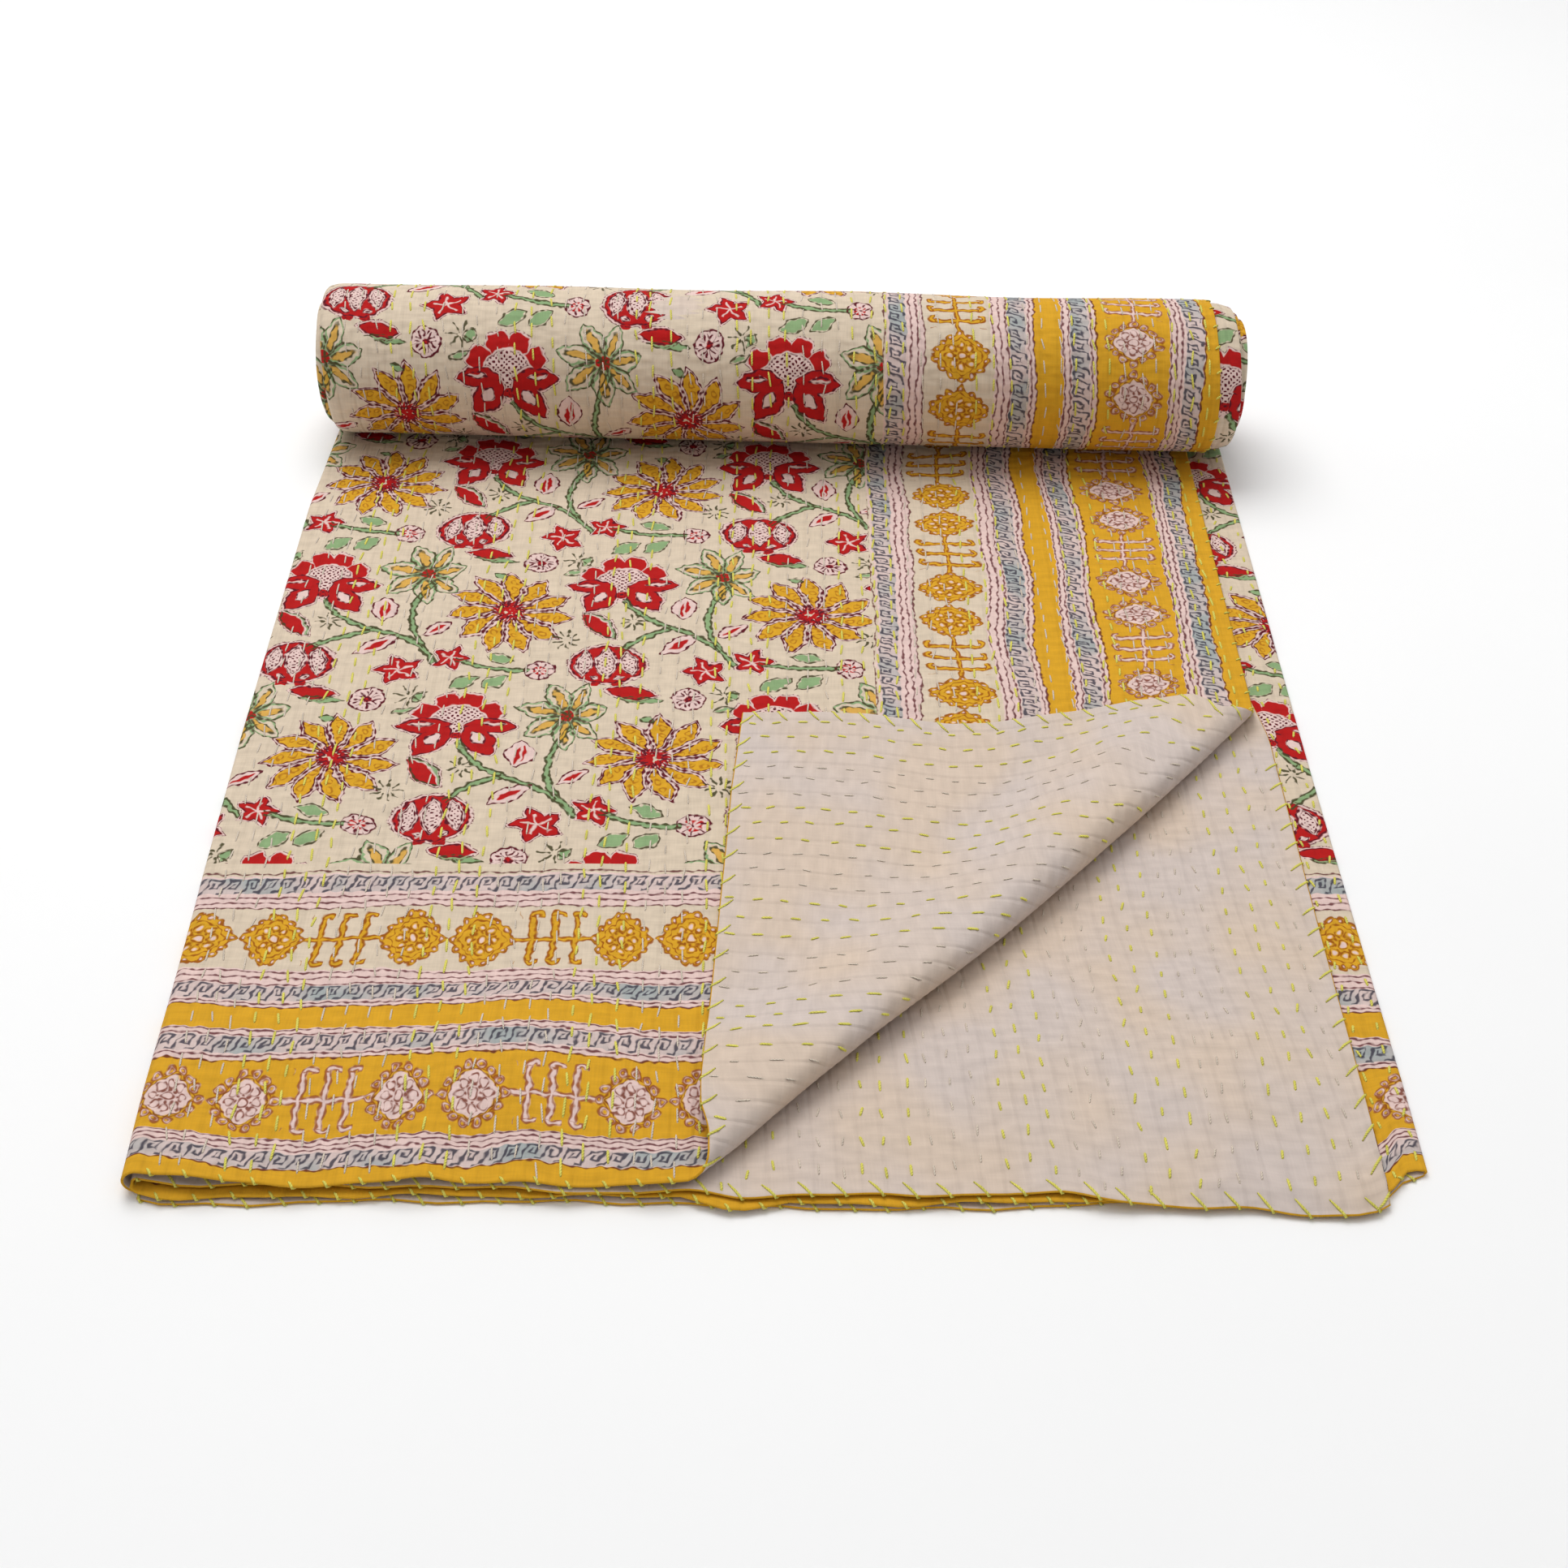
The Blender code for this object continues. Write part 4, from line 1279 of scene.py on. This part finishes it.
def make_cotton_group():
    """Quilted cotton: slubs of the weave, small puckers between the rows of stitches, and a dip
    along each row. The puckers and dips are bumped, and also painted as shade into the colour:
    darker in the puckers' hollows and along each row."""
    tree, given = new_group(
        "quilted_cotton",
        {"Cloth": ("Vector", None), "Color": ("Color", (0.8, 0.8, 0.8, 1.0)), "Slub": ("Float", 0.10)},
        {"Color": "Color", "Height": "Float", "Roughness": "Float"},
    )
    cloth = given["Cloth"]
    warp, weft, pucker = (noise(vector("MULTIPLY", cloth, stretch), 1.0) for stretch in (
        (1100.0, 90.0, 0.0), (90.0, 1100.0, 0.0), (95.0, 210.0, 0.0)))
    slub = warp + weft - 1.0
    broad = noise(cloth, 22.0)
    x, _ = split(cloth)
    from_row = abs(wrap((HEM_ACROSS - FIRST_ROW - x) * 1000.0, ROW_SPACING * 1000.0))
    dip = calculate("MINIMUM", from_row * 0.6, 1.0)
    height = pucker * 0.70 + dip * 0.30 + broad * 0.9
    # colour: slubs of the yarn, which are the cloth's own, plus painted shade, darker in the puckers' hollows
    # and along the dip of each row
    slub_and_painted_shade = slub * given["Slub"] + (pucker - 0.5) * 0.13 + dip * 0.04 + 0.965
    close_group(tree, Color=vector("SCALE", given["Color"], scale=slub_and_painted_shade), Height=height,
                Roughness=slub * 0.12 + 0.88)


def make_thread_group():
    """Twisted thread: a slanting ply along each stitch, bumped and also painted as shade into the colour, and
    a little fading from stitch to stitch.
    """
    tree, given = new_group(
        "twisted_thread",
        {"Thread": ("Vector", None), "Place": ("Vector", None), "Color": ("Color", (0.8, 0.8, 0.2, 1.0))},
        {"Color": "Color", "Height": "Float"},
    )
    u, v = split(given["Thread"])
    ply = calculate("SINE", v * (2.0 * math.pi / 0.0016) + u * (4.0 * math.pi))
    fade = noise(given["Place"], 90.0, detail=1.0)
    # colour: painted shade of the ply, darker in its grooves, and a little fading from stitch to stitch
    close_group(tree, Color=vector("SCALE", given["Color"], scale=ply * 0.08 + fade * 0.4 + 0.80), Height=ply)


def new_material(name, roughness=0.9):
    """A matt material: its tree and its shader."""
    material = bpy.data.materials.new(name)
    material.use_nodes = True
    tree = material.node_tree
    tree.nodes.clear()
    shader = add_node(tree, "BsdfPrincipled")
    shader.inputs["Roughness"].default_value = roughness
    shader.inputs["Specular IOR Level"].default_value = 0.12
    output = add_node(tree, "OutputMaterial")
    tree.links.new(shader.outputs[0], output.inputs[0])
    return material, tree, shader


def bump(height, shader, distance):
    """Relief in a shader's normal, of a depth in metres."""
    node = add_node(height.tree, "Bump")
    feed((node.inputs["Strength"], node.inputs["Distance"], node.inputs["Height"]), (1.0, distance, height))
    height.tree.links.new(node.outputs[0], shader.inputs["Normal"])


def cloth_place(tree):
    """Places on the cloth, in metres, from the piece's own map."""
    return Number(tree, add_node(tree, "UVMap", uv_map="Cloth").outputs[0])


def cotton_material(name, colour_of, slub):
    """A cotton finish; colour_of puts the print on, given the place on the cloth."""
    found = bpy.data.materials.get(name)
    if found:
        return found
    material, tree, shader = new_material(name)
    cloth = cloth_place(tree)
    color, height, roughness = use_group(
        tree, "quilted_cotton", Cloth=cloth, Color=colour_of(cloth), Slub=slub)
    feed((shader.inputs["Base Color"], shader.inputs["Roughness"]), (color, roughness))
    bump(height, shader, 0.0011)
    return material


def inks(*names):
    """The colours of the printing inks as group inputs."""
    palette = bpy.context.scene.kantha_colours
    return {name: (*getattr(palette, name.lower()), 1.0) for name in names}


def printed_cotton(name, group):
    """Cotton with one of the two prints, given the colour of each ink that the print asks for."""
    def printed(cloth):
        sockets = bpy.data.node_groups[group].interface.items_tree
        names = [item.name for item in sockets if item.in_out == "INPUT" and item.name != "Cloth"]
        return use_group(cloth.tree, group, Cloth=cloth, **inks(*names))

    return cotton_material(name, printed, 0.10)


def plain_cotton():
    """The unprinted backing, a little uneven in colour."""
    def uneven(cloth):
        palette = bpy.context.scene.kantha_colours
        blotch = calculate("MULTIPLY_ADD", noise(cloth, 16.0, detail=1.0), 3.4, -1.2, clamp=True)
        return lay((*palette.backing, 1.0), (*palette.backing_warm, 1.0), blotch)

    return cotton_material("backing_cotton", uneven, 0.06)


def thread_material(name, colour):
    """Matt cotton thread of one colour."""
    found = bpy.data.materials.get(name)
    if found:
        return found
    material, tree, shader = new_material(name, 0.7)
    place = Number(tree, add_node(tree, "TexCoord").outputs["Object"])
    color, height = use_group(
        tree, "twisted_thread", Thread=cloth_place(tree), Place=place, Color=(*colour, 1.0))
    feed([shader.inputs["Base Color"]], [color])
    bump(height, shader, 0.0001)
    return material


def make_groups():
    """The shader groups, made once."""
    if "block_leaf" not in bpy.data.node_groups:
        make_shape_groups()
        make_hand_print_group()
        make_floral_group()
        make_border_group()
        make_cotton_group()
        make_thread_group()


# ---- thread -------------------------------------------------------------------------------------

def thread_object(name, paths, normals, half_width, half_height, taper, material):
    """Threads as closed tubes: a flat ring of RING_SIDES points carried along each path.

    paths and normals are (threads, stations, 3); at a station the ring is path + side * half_width *
    cos(a) + normal * half_height * sin(a), times the taper there, side being tangent x normal."""
    count, stations = paths.shape[:2]
    tangent = np.gradient(paths, axis=1)
    side = np.cross(tangent, normals)
    side /= np.maximum(np.linalg.norm(side, axis=-1, keepdims=True), 1e-12)
    angle = np.arange(RING_SIDES) * 2.0 * math.pi / RING_SIDES + math.pi / RING_SIDES
    taper = np.asarray(taper)[None, :, None, None]
    ring = (side[:, :, None] * (half_width * np.cos(angle))[:, None]
            + normals[:, :, None] * (half_height * np.sin(angle))[:, None])
    vertices = (paths[:, :, None] + ring * taper).reshape(-1, 3)
    index = np.arange(count * stations * RING_SIDES).reshape(count, stations, RING_SIDES)
    after = np.roll(index, -1, axis=2)
    walls = np.stack((index[:, :-1], index[:, 1:], after[:, 1:], after[:, :-1]), -1).reshape(-1, 4)
    caps = np.concatenate((index[:, 0], index[:, -1, ::-1]))
    length = np.cumsum(np.linalg.norm(np.diff(paths, axis=1, prepend=paths[:, :1]), axis=-1), axis=1)
    uv = np.stack(np.broadcast_arrays(
        (np.arange(RING_SIDES) / RING_SIDES)[None, None, :],
        length[:, :, None] + np.arange(count)[:, None, None] * 0.00037,
    ), -1).reshape(-1, 2)
    return mesh_object(name, vertices, np.concatenate((walls, caps)), uv, None, (material,))


def running_rows(low, high, seed):
    """Where the rows of running stitch cross the cloth, from its first hem inwards, and which are
    bright: rows come in bands of three or four of a colour."""
    rng = np.random.default_rng(seed)
    count = int((high - low) / ROW_SPACING) + 4
    at = high - FIRST_ROW - ROW_SPACING * np.cumsum(rng.uniform(0.80, 1.20, count)) + ROW_SPACING
    band = np.repeat(np.arange(count) % 2, rng.integers(6, 9, count) // 2)[:count]
    return at[(at > low) & (at < high)], band[(at > low) & (at < high)] == 0


def running_places(rows, low, high, seed, length=FACE_STITCH, shift=0.0):
    """(across, along, length, slant) of every stitch of some rows."""
    rng = np.random.default_rng(seed)
    count = int((high - low) / STITCH_PITCH) + 1
    start = np.repeat(rng.uniform(0.0, 1.0, len(rows)), count) + shift
    along = low + (np.tile(np.arange(count), len(rows)) + start % 1.0) * STITCH_PITCH
    along += rng.normal(0.0, 0.0006, len(along))
    length = length * rng.uniform(0.78, 1.18, len(along))
    across = np.repeat(rows, count)
    across = across + 0.0006 * np.sin(along * 60.0 + across * 900.0)
    kept = (along > low + 0.004) & (along < high - 0.004)
    return across[kept], along[kept], length[kept], rng.normal(0.0, 0.0004, kept.sum())


def only(places, kept):
    """Those of some places that are kept."""
    return tuple(part[kept] for part in places)


def running_paths(sheet, places, side):
    """Paths and normals of running stitches on one side of a sheet (1 face, -1 back)."""
    across, along, length, slant = places
    thickness = CLOTH
    if np.ndim(sheet.thickness) > 0:
        thickness = np.interp(along, sheet.along[:, 0], sheet.thickness[:, 0])[:, None]
    paths, normals = [], []
    for station, lift, _ in STITCH_SHAPE:
        point, normal = sheet.at(across + slant * station * 2.0, along + length * station)
        paths.append(point + normal * side * (thickness / 2.0 + lift))
        normals.append(normal * side)
    return np.stack(paths, 1), np.stack(normals, 1)


#   a whip stitch: depth into the cloth, turn from the edge to the face (1) or the back (-1), share of
#   its slant, share of its full thickness
WHIP_SHAPE = ((WHIP_DEPTH * 0.32, 1.0, -0.35, 0.5), (WHIP_DEPTH * 0.16, 1.0, -0.2, 1.0),
              (0.0003, 0.8, -0.1, 1.0), (0.0, 0.0, 0.0, 1.0), (0.0003, -0.8, 0.1, 1.0),
              (WHIP_DEPTH * 0.5, -1.0, 0.5, 1.0), (WHIP_DEPTH, -1.0, 1.0, 0.5))


def whip_paths(sheet, across, along, inwards, slant):
    """Stitches over an edge of a sheet, from its face round the edge to its back.

    across, along are places on the edge; inwards is the unit step (across, along) into the cloth."""
    sideways = np.array((inwards[1], -inwards[0]))
    inner, _ = sheet.at(across + inwards[0] * 0.004, along + inwards[1] * 0.004)
    rim, _ = sheet.at(across, along)
    out = rim - inner
    out /= np.maximum(np.linalg.norm(out, axis=1, keepdims=True), 1e-12)
    lift = CLOTH / 2.0 + 0.0002
    paths, normals = [], []
    for into, turn, share, _ in WHIP_SHAPE:
        point, normal = sheet.at(across + inwards[0] * into + sideways[0] * slant * share,
                                 along + inwards[1] * into + sideways[1] * slant * share)
        way = normal * math.copysign(1.0, turn) if turn else out
        reach = normal * turn * lift + out * (lift * (1.0 - abs(turn)) + (0.0003 if into < 0.001 else 0.0))
        paths.append(point + reach)
        normals.append(way)
    return np.stack(paths, 1), np.stack(normals, 1)


def edge_places(low, high, seed):
    """Places of whip stitches along an edge."""
    rng = np.random.default_rng(seed)
    at = np.arange(low, high, WHIP_PITCH)
    return at + rng.normal(0.0, 0.0008, len(at))


# ---- settings -----------------------------------------------------------------------------------

def from_screen(red, green, blue):
    """A colour given in screen values 0 to 255, as the linear values that materials use."""
    return tuple((value / 255.0 / 12.92) if value < 10 else ((value / 255.0 + 0.055) / 1.055) ** 2.4
                 for value in (red, green, blue))


def ink(name, description, red, green, blue):
    """A colour setting, given in screen values."""
    return FloatVectorProperty(name=name, description=description, subtype="COLOR", size=3, min=0.0,
                               max=1.0, default=from_screen(red, green, blue))


class KanthaColours(PropertyGroup):
    """The colours of the cloth, the inks and the threads."""

    ground: ink("Ground", "Printed cotton between the flowers", 211, 194, 172)
    pink: ink("Pale stripe", "Pale ink round the flowers and under the border lines", 222, 194, 187)
    ochre: ink("Ochre", "Sunflowers and border bands", 211, 158, 40)
    red: ink("Red", "Lotus, fruit and stars", 176, 26, 26)
    green: ink("Green", "Leaves and vines", 128, 162, 112)
    outline: ink("Outline", "Fine lines of the flowers and the border", 92, 24, 36)
    vine: ink("Vine lines", "Dark lines of the green parts", 70, 66, 38)
    brown: ink("Brown", "Lines over ochre", 146, 74, 14)
    key: ink("Key pattern", "Hooks of the key pattern", 66, 62, 74)
    wash: ink("Wash", "Grey-blue wash in the key pattern", 146, 160, 160)
    backing: ink("Backing", "Unprinted cotton of the other side", 204, 190, 182)
    backing_warm: ink("Backing, warm", "Warmer parts of the backing", 209, 190, 173)
    bright_thread: ink("Bright thread", "Lime thread of the stitches", 216, 208, 98)
    pale_thread: ink("Pale thread", "Cream thread of the stitches", 213, 199, 182)


class KanthaSewing(PropertyGroup):
    """Sizes of the stitches."""

    half_width: FloatProperty(name="Thread half width", description="Half the width of a running stitch",
                              default=0.00082, min=0.0002, max=0.0015, unit="LENGTH", precision=5)
    half_height: FloatProperty(name="Thread half height", description="Half the height of a stitch",
                               default=0.00036, min=0.0001, max=0.0008, unit="LENGTH", precision=5)
    whip_slant: FloatProperty(name="Whip slant", description="How far a hem stitch slants along the hem",
                              default=0.0065, min=0.0, max=0.012, unit="LENGTH", precision=4)


class KanthaStage(PropertyGroup):
    """Light, floor and camera."""

    floor: ink("Floor", "Colour of the floor", 250, 250, 250)
    sky: FloatProperty(name="Soft light", description="Strength of the light from all round",
                       default=0.65, min=0.0, max=5.0)
    key_power: FloatProperty(name="Key light", description="Power of the lamp above",
                             default=26.0, min=0.0, max=500.0, unit="POWER")
    lens: FloatProperty(name="Focal length", description="The camera's focal length in mm",
                        default=51.04, min=10.0, max=200.0)
    pitch: FloatProperty(name="Pitch", description="The camera's tilt from straight down",
                         default=math.radians(50.0), subtype="ANGLE", unit="ROTATION")


# ---- operators ----------------------------------------------------------------------------------

def cotton_piece(name, sheet):
    """A printed and backed piece of the cloth, attached to the frame."""
    make_groups()
    materials = (printed_cotton("flowered_cotton", "floral_print"),
                 printed_cotton("bordered_cotton", "border_print"), plain_cotton())
    piece = cloth_object(name, sheet, print_slots(sheet.across, sheet.along), materials)
    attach(piece, BODY)
    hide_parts(NODE)


def stitch_piece(name, parts, shape, thread):
    """Stitches of one thread on one piece, from parts of (paths, normals)."""
    make_groups()
    colours, sewing = bpy.context.scene.kantha_colours, bpy.context.scene.kantha_sewing
    material = thread_material(thread, getattr(colours, thread))
    paths, normals = (np.concatenate([part[index] for part in parts]) for index in (0, 1))
    slender = PALE_SLENDER if thread == "pale_thread" else 1.0
    piece = thread_object(name, paths, normals, sewing.half_width * slender, sewing.half_height * slender,
                          [station[-1] for station in shape], material)
    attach(piece, BODY)


class OBJECT_OT_kantha_flat_layers(Operator):
    """Lay the four flat layers with the turned corner"""

    bl_idname = "object.kantha_flat_layers"
    bl_label = "Flat layers"
    bl_options = {"REGISTER", "UNDO"}

    def execute(self, context):
        cotton_piece("bottom_layer", bottom_layer_sheet())
        cotton_piece("inner_layers", inner_layers_sheet())
        cotton_piece("top_layer", top_layer_sheet())
        return {"FINISHED"}


class OBJECT_OT_kantha_roll(Operator):
    """Wind the far part of the cloth into its roll"""

    bl_idname = "object.kantha_roll"
    bl_label = "Roll"
    bl_options = {"REGISTER", "UNDO"}

    def execute(self, context):
        cotton_piece("roll_outer", roll_outer_sheet())
        cotton_piece("roll_inner", roll_inner_sheet())
        cotton_piece("roll_core", roll_core_sheet())
        return {"FINISHED"}


class OBJECT_OT_kantha_running_stitches(Operator):
    """Sew the rows of running stitch"""

    bl_idname = "object.kantha_running_stitches"
    bl_label = "Running stitches"
    bl_options = {"REGISTER", "UNDO"}

    def execute(self, context):
        top, inner, roll = top_layer_sheet(), inner_layers_sheet(), roll_outer_sheet()
        rows, bright = running_rows(0.008, HEM_ACROSS - 0.004, 3)
        back_rows, back_bright = running_rows(inner.across.min() + 0.003, inner.across.max() - 0.002, 8)
        for name, wanted in (("bright", True), ("pale", False)):
            mine, mine_behind = rows[bright == wanted], back_rows[back_bright == wanted]
            face = running_places(mine, 0.0, FLAT_END, 4)
            turned = running_places(mine, 0.0, TURN_SEEN, 4, BACK_STITCH, 0.5)
            turned = only(turned, past_fold_line(turned[0], turned[1]) > 0.012)
            behind = running_places(mine_behind, 0.0, FLAT_END, 6, BACK_STITCH)
            bared = only(behind, past_fold_line(layer_2_x(behind[0]), behind[1]) > -0.014)
            strip = only(behind, behind[0] > STRIP_SEEN)
            wound = running_places(mine, FLAT_END + 0.03, float(roll.along[-1, 0]) - 0.004, 9)
            for place, parts in (
                ("top", [running_paths(top, face, 1), running_paths(top, turned, -1)]),
                ("inner", [running_paths(inner, bared, -1), running_paths(inner, strip, 1)]),
                ("roll", [running_paths(roll, wound, 1)]),
            ):
                stitch_piece(name + "_stitches_" + place, parts, STITCH_SHAPE, name + "_thread")
        return {"FINISHED"}


class OBJECT_OT_kantha_hem_stitches(Operator):
    """Sew the slanting whip stitches over the hems"""

    bl_idname = "object.kantha_hem_stitches"
    bl_label = "Hem stitches"
    bl_options = {"REGISTER", "UNDO"}

    def execute(self, context):
        slant = context.scene.kantha_sewing.whip_slant
        top, inner, bottom, roll = (
            top_layer_sheet(), inner_layers_sheet(), bottom_layer_sheet(), roll_outer_sheet())
        parts = []
        # front hems
        for sheet, low, high, seed in (
            (top, 0.012, HEM_ACROSS - 0.003, 31),
            (inner, float(inner.across.min()) + 0.006, float(inner.across.max()) - 0.004, 32),
            (bottom, float(bottom.across.min()) + 0.006, float(bottom.across.max()) - 0.004, 33),
        ):
            places = edge_places(low, high, seed)
            parts.append(whip_paths(sheet, places, np.zeros_like(places), (0.0, 1.0), slant))
        # side hems, which lie at a sheet's greatest (1) or least (-1) place across
        for sheet, end, low, high, seed in (
            (top, 1, 0.006, FLAT_END - 0.02, 34),
            (inner, -1, 0.006, 0.31, 35),
            (roll, 1, 0.70, 1.10, 36),
        ):
            places = edge_places(low, high, seed)
            hem = float(end * (end * sheet.across[len(sheet.across) // 2]).max())
            parts.append(whip_paths(sheet, np.full_like(places, hem), places, (-end, 0.0), slant))
        stitch_piece("hem_stitches", parts, WHIP_SHAPE, "bright_thread")
        return {"FINISHED"}


class SCENE_OT_kantha_stage(Operator):
    """Set the floor, the soft light and the camera"""

    bl_idname = "scene.kantha_stage"
    bl_label = "Stage"
    bl_options = {"REGISTER", "UNDO"}

    def execute(self, context):
        stage = context.scene.kantha_stage
        line = np.linspace(-FLOOR_HALF, FLOOR_HALF, 41)
        across, back = np.meshgrid(line, line)
        up = FLOOR_RISE * ease((np.hypot(across, back) - FLOOR_FLAT) / FLOOR_SWEEP) - 0.0003
        points = np.stack((across, back, up), -1).reshape(-1, 3)
        floor = mesh_object("floor", points, grid_cells(*across.shape))
        material, tree, shader = new_material("floor_paper", 0.8)
        grain = noise(Number(tree, add_node(tree, "TexCoord").outputs["Object"]), 3.0, detail=2.0)
        darker = (*(0.97 * part for part in stage.floor), 1.0)
        feed([shader.inputs["Base Color"]], [lay((*stage.floor, 1.0), darker, grain)])
        floor.data.materials.append(material)

        world = bpy.data.worlds.new("studio")
        context.scene.world = world
        world.use_nodes = True
        sky = world.node_tree.nodes["Background"]
        sky.inputs["Color"].default_value = (1.0, 1.0, 1.0, 1.0)
        way = Number(world.node_tree, add_node(world.node_tree, "TexCoord").outputs["Generated"])
        from_above = calculate("MAXIMUM", vector("DOT_PRODUCT", way, (0.0, 0.28, 0.96)), 0.0)
        feed([sky.inputs["Strength"]], [(from_above * from_above * 1.85 + 0.02) * stage.sky])
        lamp = bpy.data.lights.new("soft_key", "AREA")
        lamp.energy, lamp.size = stage.key_power, 1.4
        key = link(bpy.data.objects.new("soft_key", lamp))
        key.location = (-0.40, 0.80, 2.0)
        key.rotation_euler = (math.radians(-15.0), math.radians(-17.0), 0.0)

        data = bpy.data.cameras.new("camera")
        data.lens, data.sensor_width, data.shift_x = stage.lens, 36.0, CAMERA_SHIFT
        camera = link(bpy.data.objects.new("camera", data))
        camera.location = (CAMERA_AT[0] + LEFT_FOLD, CAMERA_AT[1] + FRONT_HEM, CAMERA_AT[2])
        camera.rotation_euler = (stage.pitch, 0.0, 0.0)
        context.scene.camera = camera
        context.scene.view_settings.view_transform = "Standard"
        return {"FINISHED"}


class VIEW3D_PT_kantha(Panel):
    """The quilt's settings and the steps that make it"""

    bl_label = "Kantha quilt"
    bl_space_type = "VIEW_3D"
    bl_region_type = "UI"
    bl_category = "Quilt"

    def draw(self, context):
        layout = self.layout
        for name in SETTINGS:
            settings = getattr(context.scene, name)
            box = layout.box()
            for label in settings.__annotations__:
                box.prop(settings, label)
        for operator in OPERATORS:
            layout.operator(operator.bl_idname)


OPERATORS = (
    SCENE_OT_kantha_stage,
    OBJECT_OT_kantha_flat_layers,
    OBJECT_OT_kantha_roll,
    OBJECT_OT_kantha_running_stitches,
    OBJECT_OT_kantha_hem_stitches,
)
SETTINGS = {"kantha_colours": KanthaColours, "kantha_sewing": KanthaSewing, "kantha_stage": KanthaStage}
CLASSES = (*SETTINGS.values(), *OPERATORS, VIEW3D_PT_kantha)


def register():
    """Registers the settings, the steps and the panel."""
    for item in CLASSES:
        bpy.utils.register_class(item)
    for name, settings in SETTINGS.items():
        setattr(bpy.types.Scene, name, PointerProperty(type=settings))


def unregister():
    """Takes them off again."""
    for name in SETTINGS:
        delattr(bpy.types.Scene, name)
    for item in reversed(CLASSES):
        bpy.utils.unregister_class(item)


def main():
    """Makes the quilt."""
    register()
    bpy.ops.scene.kantha_stage()
    bpy.ops.object.kantha_flat_layers()
    bpy.ops.object.kantha_roll()
    bpy.ops.object.kantha_running_stitches()
    bpy.ops.object.kantha_hem_stitches()


if __name__ == "__main__":
    main()
